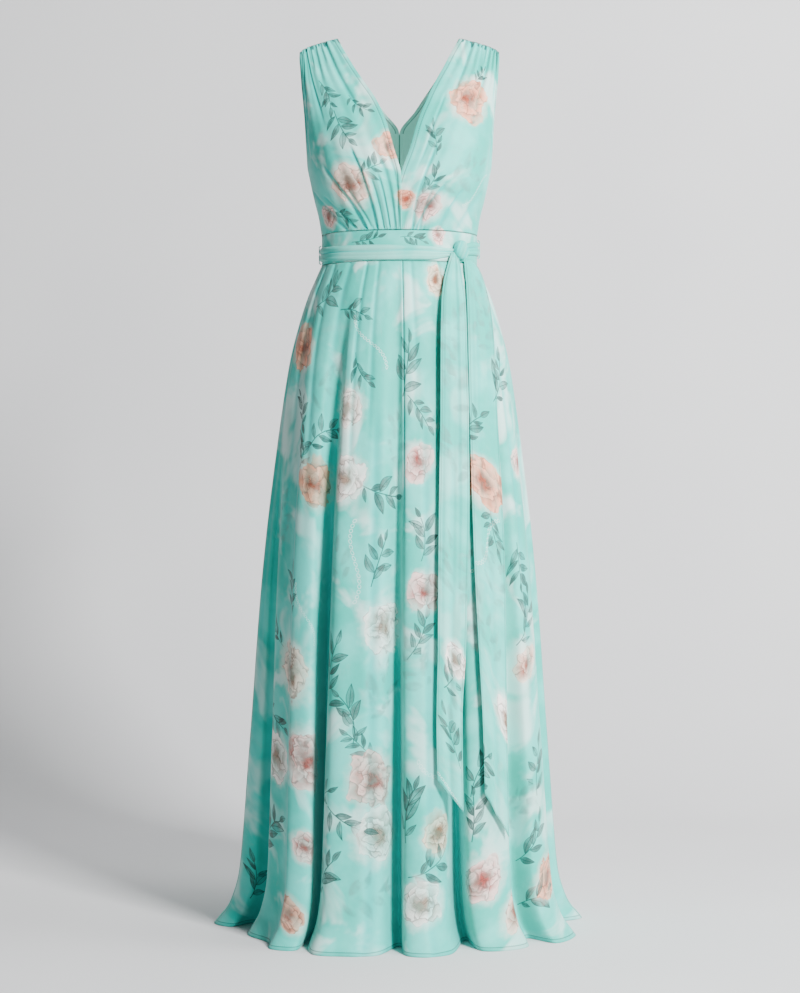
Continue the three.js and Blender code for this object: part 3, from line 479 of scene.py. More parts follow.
def crease_depth(creases: Sequence[Crease], across: np.ndarray, parts: np.ndarray) -> np.ndarray:
    """How deep the creases press a grid in.

    Args:
        creases: The creases.
        across: Each column's place across the piece.
        parts: Each row's part of the way down.

    Returns:
        A depth for each point, in millimetres.
    """
    depth = np.zeros((len(parts), len(across)))
    for crease in creases:
        t = (parts - crease.part) / (crease.to_part - crease.part)
        fade_in = smoothstep(t, -0.02, 0.12) if crease.part > 0 else smoothstep(t, -0.01, 0)
        fade_out = 1 - smoothstep(t, 0.6, 1.0) if crease.to_part < 1 else np.ones_like(t)
        centre = crease.across + (crease.to_across - crease.across) * np.clip(t, 0, 1)
        away = (across[None, :] - centre[:, None]) / crease.width
        away = np.where(away < 0, away / crease.lean, away)
        depth += crease.depth * (fade_in * fade_out)[:, None] * np.exp(-away ** 2)
    return depth


@dataclass
class Cloth:
    """A piece of cloth as a grid of points, its rows from the top down and its columns across.

    Attributes:
        name: The solid's name, which the piece stands for.
        points: Rows of points.
        closed: Whether the last column runs on into the first.
        painted_fold_shade: Painted shade and glow of the folds, from 0 on a ridge to 1 deep in a fold, for
            each point.
        edge: Distance from a turned edge, in widths of the turn, for each point.
        seam: Distance from a seam in millimetres, for each point.
        gathered: How much of the cloth is drawn in where rows are short, from 0 to 1.
        shift: Where the piece lies on the printed cloth.
    """

    name: str
    points: np.ndarray
    closed: bool = False
    painted_fold_shade: Optional[np.ndarray] = None
    edge: Optional[np.ndarray] = None
    seam: Optional[np.ndarray] = None
    gathered: float = 0.0
    shift: tuple[float, float] = (0.0, 0.0)

    def faces(self) -> np.ndarray:
        """The grid's faces, four corner numbers each."""
        rows, columns = self.points.shape[:2]
        index = np.arange(rows * columns).reshape(rows, columns)
        if self.closed:
            index = np.hstack([index, index[:, :1]])
        corners = [index[:-1, :-1], index[1:, :-1], index[1:, 1:], index[:-1, 1:]]
        return np.stack(corners, axis=-1).reshape(-1, 4)

    def lengths(self) -> tuple[np.ndarray, np.ndarray]:
        """Lengths along each row up to each column, and down the piece to each row."""
        along = np.linalg.norm(np.diff(self.points, axis=1), axis=2).cumsum(axis=1)
        along = np.hstack([np.zeros((len(along), 1)), along])
        down = np.linalg.norm(np.diff(self.points, axis=0), axis=2).mean(axis=1).cumsum()
        return along, np.concatenate([[0.0], down])

    def places(self) -> np.ndarray:
        """Each point's place on the printed cloth, in millimetres."""
        along, down = self.lengths()
        width = along[:, -1:]
        full = width * (1 - self.gathered) + width.max() * self.gathered
        x = (along / width - 0.5) * full
        y = np.broadcast_to(-down[:, None], x.shape)
        return np.stack([x, y], axis=-1)

    def area(self) -> float:
        """Area of the cloth in square metres."""
        corners = self.points.reshape(-1, 3)[self.faces()]
        cross = np.cross(corners[:, 2] - corners[:, 0], corners[:, 3] - corners[:, 1])
        return float(np.linalg.norm(cross, axis=1).sum() / 2) * METRES ** 2

    def flat_size(self) -> tuple[float, float]:
        """Width and length of the cloth laid flat, in metres."""
        along, down = self.lengths()
        return float(along[:, -1].max()) * METRES, float(down[-1]) * METRES


class Face(Enum):
    """The side that a motif is seen from."""

    FRONT = -1
    BACK = 1


@dataclass(frozen=True)
class Print:
    """The printed motifs of the dress: roses, leaf sprays and chains of small rings.

    Attributes:
        seed: Seed of the motifs of the back.
        back_gap: Smallest distance between motifs of a kind on the back.
        leaves: How many leaves a spray has.
    """

    seed: int = 41
    back_gap: float = 62.0
    leaves: int = 7

    def scattered(self, count: int, radius: tuple[float, float], seed: int) -> list[Motif]:
        """Motifs over the back of the dress.

        Args:
            count: How many.
            radius: Smallest and largest radius.
            seed: Seed of the random places.

        Returns:
            The motifs.
        """
        random = np.random.default_rng(self.seed + seed)
        motifs: list[Motif] = []
        for _ in range(count * 40):
            drop = random.uniform(60, 1420)
            half = 110 if drop < 340 else 110 + (drop - 340) * 0.13
            motif = Motif(random.uniform(-half, half), drop, random.uniform(*radius),
                          random.uniform(0, 360), random.uniform(0, 1))
            gaps = [math.hypot(motif.x - m.x, motif.drop - m.drop) for m in motifs]
            if min(gaps, default=self.back_gap) >= self.back_gap:
                motifs.append(motif)
            if len(motifs) == count:
                break
        return motifs

    @staticmethod
    def landed(cloth: Cloth, motif: Motif, face: Face) -> Optional[Mark]:
        """Where a motif lies on the flat cloth.

        Args:
            cloth: The cloth.
            motif: The motif.
            face: The side that it is seen from.

        Returns:
            Its mark, or None where it misses the cloth.
        """
        seen = cloth.points.reshape(-1, 3)
        away = np.hypot(seen[:, 0] - motif.x, seen[:, 2] + motif.drop)
        if away.min() > (OFF_TAIL if "tail" in cloth.name else motif.radius * OFF_CLOTH):
            return None
        near = np.flatnonzero(away < away.min() + 4)
        nearest = near[np.argmax(seen[near, 1] * face.value)]
        x, y = cloth.places().reshape(-1, 2)[nearest]
        x, y = x + motif.x - seen[nearest, 0], y - motif.drop - seen[nearest, 2]
        return Mark(float(x), float(y), motif.radius, math.radians(motif.turn), motif.tint)

    def spray_leaves(self, stem: Mark) -> list[Mark]:
        """Leaves of a spray, on alternate sides of its bent stem.

        Args:
            stem: The spray's mark.

        Returns:
            A mark for each leaf, from its base to its tip.
        """
        random = np.random.default_rng(int(stem.tint * 1000) + int(abs(stem.x)))
        soft = SOFT_SPRAY if stem.tint >= SOFT_SPRAY else 0.0
        bend = (stem.tint - soft - 0.5) * STEM_BEND
        leaves = []
        for number in range(self.leaves):
            t = -0.7 + 1.5 * number / (self.leaves - 1) + random.uniform(-0.06, 0.06)
            lean = math.radians(random.uniform(28, 62)) * (1 if number % 2 else -1)
            if number == self.leaves - 1:
                t, lean = 0.9, 0.1
            heading = stem.turn + math.atan(-2 * bend * t) + lean
            length = stem.radius * random.uniform(0.72, 1.1) * (1.05 - 0.35 * abs(t)) * (1 + soft * 0.3)
            along, up = t * stem.radius, bend * (1 - t * t) * stem.radius
            x = stem.x + along * math.cos(stem.turn) - up * math.sin(stem.turn)
            y = stem.y + along * math.sin(stem.turn) + up * math.cos(stem.turn)
            leaves.append(Mark(x + math.cos(heading) * length * 0.54, y + math.sin(heading) * length * 0.54,
                               length / 2, heading, soft + random.uniform(0, 0.99)))
        return leaves

    def marks(self, cloth: Cloth, face: Face) -> dict[str, list[Mark]]:
        """The marks of each print layer on a cloth.

        Args:
            cloth: The cloth.
            face: The side that its motifs are seen from.

        Returns:
            The marks by the name of their layer.
        """
        if face is Face.FRONT:
            roses, sprays, chains = ROSES_FRONT, SPRAYS_FRONT, CHAINS_FRONT
        else:
            roses = self.scattered(BACK_ROSES, (30, 52), 1)
            sprays = self.scattered(BACK_SPRAYS, (28, 46), 2)
            chains = self.scattered(BACK_CHAINS, (44, 60), 3)
        names = [f"rose_{i}" for i in range(ROSE_LAYERS)] + [f"leaf_{i}" for i in range(LEAF_LAYERS)]
        names += [f"stem_{i}" for i in range(STEM_LAYERS)] + ["chain"]
        found: dict[str, list[Mark]] = {name: [] for name in names}
        for motif in roses:
            mark = self.landed(cloth, motif, face)
            if mark:
                room = [min((math.hypot(mark.x - m.x, mark.y - m.y) - m.radius
                             for m in found[f"rose_{i}"]), default=1e6) for i in range(ROSE_LAYERS)]
                found[f"rose_{int(np.argmax(room))}"].append(mark)
        for number, motif in enumerate(sprays):
            mark = self.landed(cloth, motif, face)
            if mark:
                found[f"stem_{number % STEM_LAYERS}"].append(mark)
                layers = LEAF_LAYERS - (mark.tint >= SOFT_SPRAY)
                for place, leaf in enumerate(self.spray_leaves(mark)):
                    found[f"leaf_{(number + place) % layers}"].append(leaf)
        for motif in chains:
            mark = self.landed(cloth, motif, face)
            if mark:
                found["chain"].append(mark)
        return found

    def draw(self, cloth: Cloth, mesh: bpy.types.Mesh, face: Face) -> None:
        """Gives the faces near each mark their places in its own coordinates.

        Args:
            cloth: The cloth.
            mesh: Its mesh.
            face: The side that its motifs are seen from.
        """
        corners = cloth.places().reshape(-1, 2)[cloth.faces()]
        middles = corners.mean(axis=1)
        for name, marks in self.marks(cloth, face).items():
            local = np.full((len(corners), 4, 3), OUTSIDE_MOTIF)
            best = np.full(len(corners), MOTIF_REACH)
            for mark in marks:
                centre = np.array([mark.x, mark.y])
                distance = np.linalg.norm(middles - centre, axis=1) / mark.radius
                close = distance < best
                best[close] = distance[close]
                offset = (corners[close] - centre) / mark.radius
                cos, sin = math.cos(mark.turn), math.sin(mark.turn)
                local[close, :, 0] = offset[..., 0] * cos + offset[..., 1] * sin
                local[close, :, 1] = offset[..., 1] * cos - offset[..., 0] * sin
                local[close, :, 2] = mark.tint
            layer = mesh.attributes.new(name, "FLOAT_VECTOR", "CORNER")
            layer.data.foreach_set("vector", local.ravel())


@dataclass(frozen=True)
class Nodes:
    """A material's node tree."""

    tree: bpy.types.NodeTree

    def add(self, kind: str, inputs: dict[Any, Any], output: Any = 0, **settings: Any) -> Any:
        """Adds a node with its settings and links.

        Args:
            kind: The node's type, without its prefix.
            inputs: A value or a socket for each input, by name or number.
            output: The output to return, by name or number.
            settings: The node's properties.

        Returns:
            The output socket, or None where the node has none.
        """
        node = self.tree.nodes.new("ShaderNode" + kind)
        for name, value in settings.items():
            setattr(node, name, value)
        for key, value in inputs.items():
            if isinstance(value, bpy.types.NodeSocket):
                self.tree.links.new(value, node.inputs[key])
            else:
                node.inputs[key].default_value = value
        return node.outputs[output] if node.outputs else None

    def math(self, operation: str, *values: Any) -> Any:
        """The result of a sum on numbers and sockets."""
        return self.add("Math", dict(enumerate(values)), operation=operation)

    def step(self, value: Any, low: float, high: float) -> Any:
        """A value's smooth step from 0 at low to 1 at high."""
        inputs = {0: value, 1: low, 2: high, 3: 0.0, 4: 1.0}
        return self.add("MapRange", inputs, interpolation_type="SMOOTHSTEP")

    def part(self, vector: Any, number: int) -> Any:
        """One of a vector's three numbers."""
        return self.add("SeparateXYZ", {0: vector}, number)

    def blend(self, share: Any, first: Any, second: Any) -> Any:
        """A colour between two others."""
        return self.add("Mix", {0: share, 6: first, 7: second}, 2, data_type="RGBA")

    def tinted(self, colour: Any, tint: Any) -> Any:
        """A colour seen through a tint."""
        return self.add("Mix", {0: 1.0, 6: colour, 7: tint}, 2, data_type="RGBA", blend_type="MULTIPLY")


class Slot(Enum):
    """Material slots of the record."""

    PRINTED = "printed_chiffon"
    SASH = "sash_chiffon"
    THREAD = "aqua_thread"


@dataclass(frozen=True)
class Chiffon:
    """Crepe chiffon: matte, with a faint grain, a soft sheen, and painted shade and a painted glow in its
    folds.

    Attributes:
        name: The material's name.
        printed: Whether it carries the print.
        colour: Colour of its ground.
        light: Colour of the ground's paler patches.
        misty: Strength of the pale mist in the ground, from 0 to 1.
        smudged: Strength of the grey-green smudges, from 0 to 1.
        painted_shade_strength: How far painted shade deepens its colour at the bottom of a fold, from 0 to 1.
        painted_glow_strength: Strength of the painted glow that the bottoms of its folds give out.
        roughness: Roughness of the surface.
        sheen: Strength of the sheen of its fine yarns.
    """

    name: str
    printed: bool
    colour: str = AQUA
    light: str = LIGHT_AQUA
    misty: float = 0.7
    smudged: float = 0.2
    painted_shade_strength: float = 0.86
    painted_glow_strength: float = 0.06
    roughness: float = 0.62
    sheen: float = 0.25

    def material(self) -> bpy.types.Material:
        """The material."""
        material = bpy.data.materials.new(self.name)
        material.use_nodes = True
        material.node_tree.nodes.clear()
        nodes = Nodes(material.node_tree)
        place = nodes.add("Attribute", {}, "Vector", attribute_name="cloth")
        build = nodes.add("Attribute", {}, "Vector", attribute_name="build")
        painted_fold_shade, edge, seam = (nodes.part(build, i) for i in range(3))
        # Painted light: a fold's bottom is brightened to a saturated aqua, standing in for light through the
        # thin cloth.
        painted_glow_mask = nodes.math("MULTIPLY", nodes.math("POWER", painted_fold_shade, 1.5), self.painted_shade_strength * 0.8)
        colour = nodes.blend(painted_glow_mask, self.ground(nodes, place), linear(PAINTED_GLOW))
        if self.printed:
            colour = self.motifs(nodes, place, colour)
        # Painted shade: cloth deep in a fold is tinted a deeper, greener colour.
        shade = nodes.blend(nodes.math("MULTIPLY", painted_fold_shade, self.painted_shade_strength), (1, 1, 1, 1), linear(PAINTED_SHADE_TEAL))
        colour = nodes.tinted(colour, shade)
        # A row of fine stitches draws a thin dark line, and a turned edge holds more layers of cloth.
        from_stitches = nodes.math("ABSOLUTE", nodes.math("SUBTRACT", edge, 1.0))
        line = nodes.math("MULTIPLY", nodes.step(from_stitches, 0.2, 0.05), 0.62)
        turned = nodes.math("MULTIPLY", nodes.step(edge, 1.02, 0.96), 0.14)
        # A seam draws a dark line, which runs down as painted shade where the shoulder's thread pinches the
        # cloth.
        sewn = nodes.math("MULTIPLY", nodes.step(seam, 1.3, 0.3), 0.8)
        dark = nodes.math("MAXIMUM", nodes.math("MAXIMUM", line, turned), sewn)
        colour = nodes.tinted(colour, nodes.blend(dark, (1, 1, 1, 1), linear(SEAM_DARK_AND_PINCH_SHADE)))
        # The emission gives out the painted glow of the folds' bottoms.
        shader = nodes.add("BsdfPrincipled", {
            "Base Color": colour, "Roughness": self.roughness, "Sheen Weight": self.sheen,
            "Sheen Roughness": 0.4, "Specular IOR Level": 0.25, "Normal": self.grain(nodes, place),
            "Emission Color": nodes.blend(painted_glow_mask, (0, 0, 0, 1), linear(PAINTED_GLOW)), "Emission Strength": self.painted_glow_strength,
        })
        nodes.add("OutputMaterial", {0: shader})
        return material

    def ground(self, nodes: Nodes, place: Any) -> Any:
        """The dyed ground: aqua with paler mist and grey-green smudges in patches of 50 to 110 mm."""
        tone = nodes.add("TexNoise", {"Vector": place, "Scale": 0.011, "Detail": 3.0, "Roughness": 0.55})
        colour = nodes.blend(nodes.step(tone, 0.38, 0.64), linear(self.colour), linear(self.light))
        mist = nodes.add("TexNoise", {"Vector": place, "Scale": 0.0095, "Detail": 3.0, "Roughness": 0.55,
                                      "Distortion": 0.6})
        mist = nodes.math("MULTIPLY", nodes.step(mist, 0.51, 0.64), self.misty)
        colour = nodes.blend(mist, colour, linear(MIST))
        smudge = nodes.add("TexNoise", {"Vector": place, "Scale": 0.021, "Detail": 5.0, "Roughness": 0.65,
                                        "Distortion": 1.2})
        smudge = nodes.math("MULTIPLY", nodes.step(smudge, 0.56, 0.7), self.smudged)
        return nodes.blend(smudge, colour, linear(SMUDGE))

    def motifs(self, nodes: Nodes, place: Any, under: Any) -> Any:
        """All printed motifs, laid over the ground, their colour washed unevenly at 20 mm."""
        wander = nodes.add("TexNoise", {"Vector": place, "Scale": 0.05, "Detail": 2.0}, "Color")
        wander = nodes.add("VectorMath", {0: wander, 1: (0.5, 0.5, 0.5)}, "Vector", operation="SUBTRACT")
        wander = nodes.add("VectorMath", {0: wander, 1: (0.6, 0.6, 0.0)}, "Vector", operation="MULTIPLY")
        wash = nodes.add("TexNoise", {"Vector": place, "Scale": 0.045, "Detail": 3.0})
        wash = nodes.add("MapRange", {0: wash, 1: 0.34, 2: 0.58, 3: 0.45, 4: 1.0})
        colour = self.chain(nodes, "chain", under)
        for layer in range(STEM_LAYERS):
            colour = self.stem(nodes, f"stem_{layer}", colour)
        for layer in range(LEAF_LAYERS - 1):
            colour = self.leaf(nodes, f"leaf_{layer}", wash, colour)
        for layer in range(ROSE_LAYERS):
            colour = self.rose(nodes, f"rose_{layer}", wander, wash, colour)
        return self.leaf(nodes, f"leaf_{LEAF_LAYERS - 1}", wash, colour)

    def rose(self, nodes: Nodes, layer: str, wander: Any, wash: Any, under: Any) -> Any:
        """Roses and peonies of 30 to 110 mm, whose petals lie in uneven rings with drawn edges."""
        local = nodes.add("Attribute", {}, "Vector", attribute_name=layer)
        tint = nodes.part(local, 2)
        flat = nodes.add("VectorMath", {0: local, 1: (1, 1, 0)}, "Vector", operation="MULTIPLY")
        flat = nodes.add("VectorMath", {0: flat, 1: wander}, "Vector", operation="ADD")
        radius = nodes.add("VectorMath", {0: flat}, "Value", operation="LENGTH")
        heading = nodes.add("VectorMath", {0: flat}, "Vector", operation="NORMALIZE")
        # Petals are the cells of a pattern wrapped round the flower, about seven round and three deep.
        deep = nodes.math("MULTIPLY_ADD", tint, 9.0, nodes.math("MULTIPLY", radius, 3.4))
        level = nodes.add("CombineXYZ", {2: deep})
        petal_place = nodes.add("VectorMath", {0: heading, 1: (1.15, 1.15, 0), 2: level}, "Vector",
                                operation="MULTIPLY_ADD")
        cell = nodes.add("TexVoronoi", {"Vector": petal_place, "Scale": 1.0}, "Position")
        chance = nodes.add("TexWhiteNoise", {"Vector": cell}, "Value", noise_dimensions="3D")
        rim = nodes.add("TexVoronoi", {"Vector": petal_place, "Scale": 1.0}, "Distance",
                        feature="DISTANCE_TO_EDGE")
        inward = nodes.math("SUBTRACT", nodes.part(cell, 2), deep)
        ring = nodes.math("DIVIDE", nodes.math("MULTIPLY_ADD", tint, -9.0, nodes.part(cell, 2)), 3.4)
        petals = nodes.math("MULTIPLY", nodes.step(ring, 0.86, 0.78), nodes.step(radius, 1.08, 0.95))
        petals = nodes.math("MULTIPLY", petals, nodes.math("MULTIPLY_ADD", wash, 0.5, 0.5))
        # Around the drawn petals the colour has bled into the cloth.
        cover = nodes.math("MAXIMUM", petals, nodes.math("MULTIPLY", nodes.step(radius, 1.2, 0.6), 0.8))
        shade = nodes.math("MULTIPLY_ADD", inward, 0.8, nodes.math("MULTIPLY", chance, 0.35))
        heart = nodes.step(radius, 0.55, 0.12)
        tone = nodes.math("MAXIMUM", shade, heart)
        second, third, fourth = (nodes.step(tint, low, low + 0.16) for low in (0.16, 0.42, 0.68))
        light = nodes.blend(second, linear(PEACH), linear(BLUSH))
        light = nodes.blend(fourth, nodes.blend(third, light, linear(BEIGE)), linear(CREAM))
        dark = nodes.blend(second, linear(PEACH_DEEP), linear(BLUSH_DEEP))
        dark = nodes.blend(fourth, nodes.blend(third, dark, linear(BEIGE_DEEP)), linear(CREAM_DEEP))
        colour = nodes.blend(tone, light, dark)
        # An ink line parts the petals, and thinner arcs follow their rims.
        drawn = nodes.math("MULTIPLY", nodes.step(rim, 0.075, 0.02), nodes.step(wash, 0.5, 0.9))
        turns = nodes.math("FRACT", nodes.math("MULTIPLY_ADD", rim, 7.0, chance))
        arcs = nodes.math("MULTIPLY", nodes.step(turns, 0.2, 0.05), nodes.step(radius, 0.95, 0.2))
        lines = nodes.math("MAXIMUM", nodes.math("MULTIPLY", drawn, 0.55), nodes.math("MULTIPLY", arcs, 0.45))
        lines = nodes.math("MULTIPLY", lines, nodes.step(petals, 0.3, 0.6))
        bled = nodes.blend(0.55, light, linear(MIST))
        colour = nodes.blend(nodes.step(petals, 0.0, 0.4), bled, nodes.blend(lines, colour, linear(INK)))
        return nodes.blend(cover, under, colour)

    def leaf(self, nodes: Nodes, layer: str, wash: Any, under: Any) -> Any:
        """Pointed leaves of 15 to 45 mm, washed in and drawn with outlines, midribs and veins."""
        local = nodes.add("Attribute", {}, "Vector", attribute_name=layer)
        x, y, seed = (nodes.part(local, i) for i in range(3))
        soft = nodes.math("GREATER_THAN", seed, SOFT_SPRAY)
        chance = nodes.math("FRACT", seed)
        arch = nodes.math("SUBTRACT", 1.0, nodes.math("MULTIPLY", x, x))
        bow = nodes.math("MULTIPLY", nodes.math("SUBTRACT", chance, 0.5), 0.5)
        off = nodes.math("ABSOLUTE", nodes.math("SUBTRACT", y, nodes.math("MULTIPLY", arch, bow)))
        fullness = nodes.math("MULTIPLY_ADD", x, -0.12, nodes.math("MULTIPLY_ADD", chance, 0.14, 0.3))
        inside = nodes.math("MULTIPLY_ADD", arch, fullness, nodes.math("MULTIPLY", off, -1.0))
        blur = nodes.math("MULTIPLY_ADD", soft, 0.16, 0.03)
        leaf = nodes.add("MapRange", {0: inside, 1: 0.0, 2: blur, 3: 0.0, 4: 1.0})
        leaf = nodes.math("MULTIPLY", leaf, nodes.math("GREATER_THAN", arch, 0.0))
        outline = nodes.step(inside, 0.12, 0.03)
        midrib = nodes.step(off, 0.05, 0.015)
        ribs = nodes.math("FRACT", nodes.math("MULTIPLY_ADD", off, -3.2, nodes.math("MULTIPLY", x, 3.6)))
        veins = nodes.math("MULTIPLY", nodes.step(ribs, 0.22, 0.06), 0.5)
        lines = nodes.math("MAXIMUM", nodes.math("MAXIMUM", outline, midrib), veins)
        lines = nodes.math("MULTIPLY", lines, nodes.math("MULTIPLY_ADD", soft, -0.9, 0.9))
        fill = nodes.blend(nodes.math("MULTIPLY_ADD", soft, 0.6, nodes.math("MULTIPLY", chance, 0.4)),
                           linear(LEAF), linear(LEAF_PALE))
        ink = nodes.blend(lines, fill, linear(LEAF_LINE))
        body = nodes.math("MULTIPLY_ADD", soft, -0.4, nodes.math("MULTIPLY", wash, 0.9))
        strength = nodes.math("MULTIPLY", leaf, nodes.math("MAXIMUM", body, lines))
        return nodes.blend(strength, under, ink)

    def stem(self, nodes: Nodes, layer: str, under: Any) -> Any:
        """Thin bent stems, about 2 mm wide."""
        local = nodes.add("Attribute", {}, "Vector", attribute_name=layer)
        x, y, seed = (nodes.part(local, i) for i in range(3))
        arch = nodes.math("SUBTRACT", 1.0, nodes.math("MULTIPLY", x, x))
        bend = nodes.math("MULTIPLY", nodes.math("SUBTRACT", seed, 0.5), STEM_BEND)
        off = nodes.math("ABSOLUTE", nodes.math("SUBTRACT", y, nodes.math("MULTIPLY", arch, bend)))
        line = nodes.math("MULTIPLY", nodes.step(off, 0.034, 0.012), nodes.math("GREATER_THAN", arch, 0.1))
        line = nodes.math("MULTIPLY", line, nodes.math("LESS_THAN", seed, SOFT_SPRAY))
        return nodes.blend(nodes.math("MULTIPLY", line, 0.8), under, linear(LEAF_LINE))

    def chain(self, nodes: Nodes, layer: str, under: Any) -> Any:
        """Faint bent chains of small pale rings, each about 6 mm wide."""
        local = nodes.add("Attribute", {}, "Vector", attribute_name=layer)
        x, y = nodes.part(local, 0), nodes.part(local, 1)
        y = nodes.math("MULTIPLY_ADD", nodes.math("SINE", nodes.math("MULTIPLY", x, 2.4)), -0.25, y)
        along = nodes.math("SUBTRACT", nodes.math("FRACT", nodes.math("MULTIPLY", x, 8.0)), 0.5)
        off = nodes.math("MULTIPLY", y, 8.0)
        distance = nodes.math("SQRT", nodes.math("ADD", nodes.math("MULTIPLY", along, along),
                                                 nodes.math("MULTIPLY", off, off)))
        ring = nodes.step(nodes.math("ABSOLUTE", nodes.math("SUBTRACT", distance, 0.36)), 0.13, 0.05)
        ring = nodes.math("MULTIPLY", ring, nodes.math("LESS_THAN", nodes.math("ABSOLUTE", x), 1.0))
        return nodes.blend(nodes.math("MULTIPLY", ring, 0.5), under, linear(BUBBLE))

    def grain(self, nodes: Nodes, place: Any) -> Any:
        """Relief of the crepe yarns over soft wrinkles of about 14 mm."""
        # The real yarns lie about 0.3 mm apart, which is too fine to show, so they are drawn at 1.1 mm.
        warp = nodes.add("TexWave", {"Vector": place, "Scale": 0.29, "Distortion": 1.5, "Detail": 1.0},
                         "Fac", bands_direction="X")
        weft = nodes.add("TexWave", {"Vector": place, "Scale": 0.29, "Distortion": 1.5, "Detail": 1.0},
                         "Fac", bands_direction="Y")
        weave = nodes.math("MULTIPLY", nodes.math("ADD", warp, weft), 0.05)
        soft = nodes.add("TexNoise", {"Vector": place, "Scale": 0.07, "Detail": 3.0, "Roughness": 0.5})
        height = nodes.math("ADD", weave, soft)
        return nodes.add("Bump", {"Height": height, "Strength": 0.12, "Distance": 0.004})


@dataclass(frozen=True)
class Thread:
    """Twisted polyester thread: satin, with a fine ply in relief and painted highlights along it."""

    name: str = "aqua_thread"
    colour: str = "#6CC4B8"

    def material(self) -> bpy.types.Material:
        """The material."""
        material = bpy.data.materials.new(self.name)
        material.use_nodes = True
        material.node_tree.nodes.clear()
        nodes = Nodes(material.node_tree)
        place = nodes.add("TexCoord", {}, "Object")
        # The ply repeats every 0.6 mm, and its lighter stripes are painted highlights.
        ply = nodes.add("TexWave", {"Vector": place, "Scale": 520.0, "Distortion": 0.6}, "Fac",
                        bands_direction="DIAGONAL")
        colour = nodes.blend(ply, linear(self.colour), linear(LIGHT_AQUA))
        bump = nodes.add("Bump", {"Height": ply, "Strength": 0.3, "Distance": 0.0002})
        shader = nodes.add("BsdfPrincipled", {"Base Color": colour, "Roughness": 0.5,
                                              "Sheen Weight": 0.2, "Normal": bump})
        nodes.add("OutputMaterial", {0: shader})
        return material


@dataclass(frozen=True)
class StudioPaper:
    """Pale grey studio paper: matte, with faint unevenness."""

    name: str = "studio_paper"
    colour: str = PAPER

    def material(self) -> bpy.types.Material:
        """The material."""
        material = bpy.data.materials.new(self.name)
        material.use_nodes = True
        material.node_tree.nodes.clear()
        nodes = Nodes(material.node_tree)
        place = nodes.add("TexCoord", {}, "Object")
        cloud = nodes.add("TexNoise", {"Vector": place, "Scale": 1.4, "Detail": 2.0})
        colour = nodes.blend(nodes.step(cloud, 0.3, 0.7), linear(self.colour), linear(PAPER_PALE))
        shader = nodes.add("BsdfPrincipled", {"Base Color": colour, "Roughness": 0.85})
        # Seen from behind the paper is clear, so the back of the dress can be looked at.
        behind = nodes.add("NewGeometry", {}, "Backfacing")
        shader = nodes.add("MixShader", {0: behind, 1: shader, 2: nodes.add("BsdfTransparent", {})})
        nodes.add("OutputMaterial", {0: shader})
        return material


@dataclass
class Wardrobe:
    """Makes pieces of the dress out of cloth and puts them on the frame.

    Attributes:
        printed: Material of the printed cloth.
        lining: Material of the inside of the printed cloth.
        sash: Material of the sash.
        thread: Material of the sewing thread.
        design: The printed motifs.
    """

    printed: bpy.types.Material
    lining: bpy.types.Material
    sash: bpy.types.Material
    thread: bpy.types.Material
    design: Print = field(default_factory=Print)

    @staticmethod
    def mesh_object(name: str, points: np.ndarray, faces: list[list[int]]) -> bpy.types.Object:
        """An object with a smooth mesh.

        Args:
            name: The object's name.
            points: Its points, in millimetres.
            faces: Corner numbers of its faces.

        Returns:
            The object.
        """
        mesh = bpy.data.meshes.new(name)
        vertices = points.reshape(-1, 3) * METRES
        mesh.from_pydata(vertices.tolist(), [], faces)
        mesh.shade_smooth()
        item = bpy.data.objects.new(name, mesh)
        bpy.context.scene.collection.objects.link(item)
        return item

    def wear(self, cloth: Cloth, slot: Slot, face: Face,
             thickness: float = SHELL) -> bpy.types.Object:
        """Makes a sheet of cloth that stands for its solid.

        Args:
            cloth: The cloth.
            slot: Its material slot.
            face: The side that its motifs are seen from.
            thickness: Its thickness, or 0 for a single layer.

        Returns:
            The object.
        """
        item = self.mesh_object(f"{cloth.name}_cloth", cloth.points, cloth.faces().tolist())
        mesh = item.data
        shape = cloth.points.shape[:2]
        flat = np.dstack([cloth.places() + np.array(cloth.shift), np.zeros(shape)])
        layer = mesh.attributes.new("cloth", "FLOAT_VECTOR", "POINT")
        layer.data.foreach_set("vector", flat.ravel())
        painted_fold_shade = np.zeros(shape) if cloth.painted_fold_shade is None else np.clip(cloth.painted_fold_shade, 0, 1)
        edge = np.full(shape, FAR) if cloth.edge is None else np.broadcast_to(cloth.edge, shape)
        seam = np.full(shape, FAR) if cloth.seam is None else np.broadcast_to(cloth.seam, shape)
        layer = mesh.attributes.new("build", "FLOAT_VECTOR", "POINT")
        layer.data.foreach_set("vector", np.dstack([painted_fold_shade, edge, seam]).ravel())
        self.design.draw(cloth, mesh, face)
        if slot is Slot.PRINTED:
            mesh.materials.append(self.printed)
            mesh.materials.append(self.lining)
        else:
            mesh.materials.append(self.sash)
        if thickness:
            shell = item.modifiers.new("thickness", "SOLIDIFY")
            shell.thickness = thickness * METRES
            shell.offset = -1.0
            shell.material_offset = 1 if slot is Slot.PRINTED else 0
        self.put_on(item, slot, cloth.name)
        flat_size, area = cloth.flat_size(), cloth.area()
        return item

    @staticmethod
    def put_on(item: bpy.types.Object, slot: Slot, *nodes: str) -> None:
        """Lets a piece move with the dress, in place of its solids."""
        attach(item, "root")
        if nodes:
            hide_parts(*nodes)
        LOG.info("%s: %d faces", item.name, len(item.data.polygons))


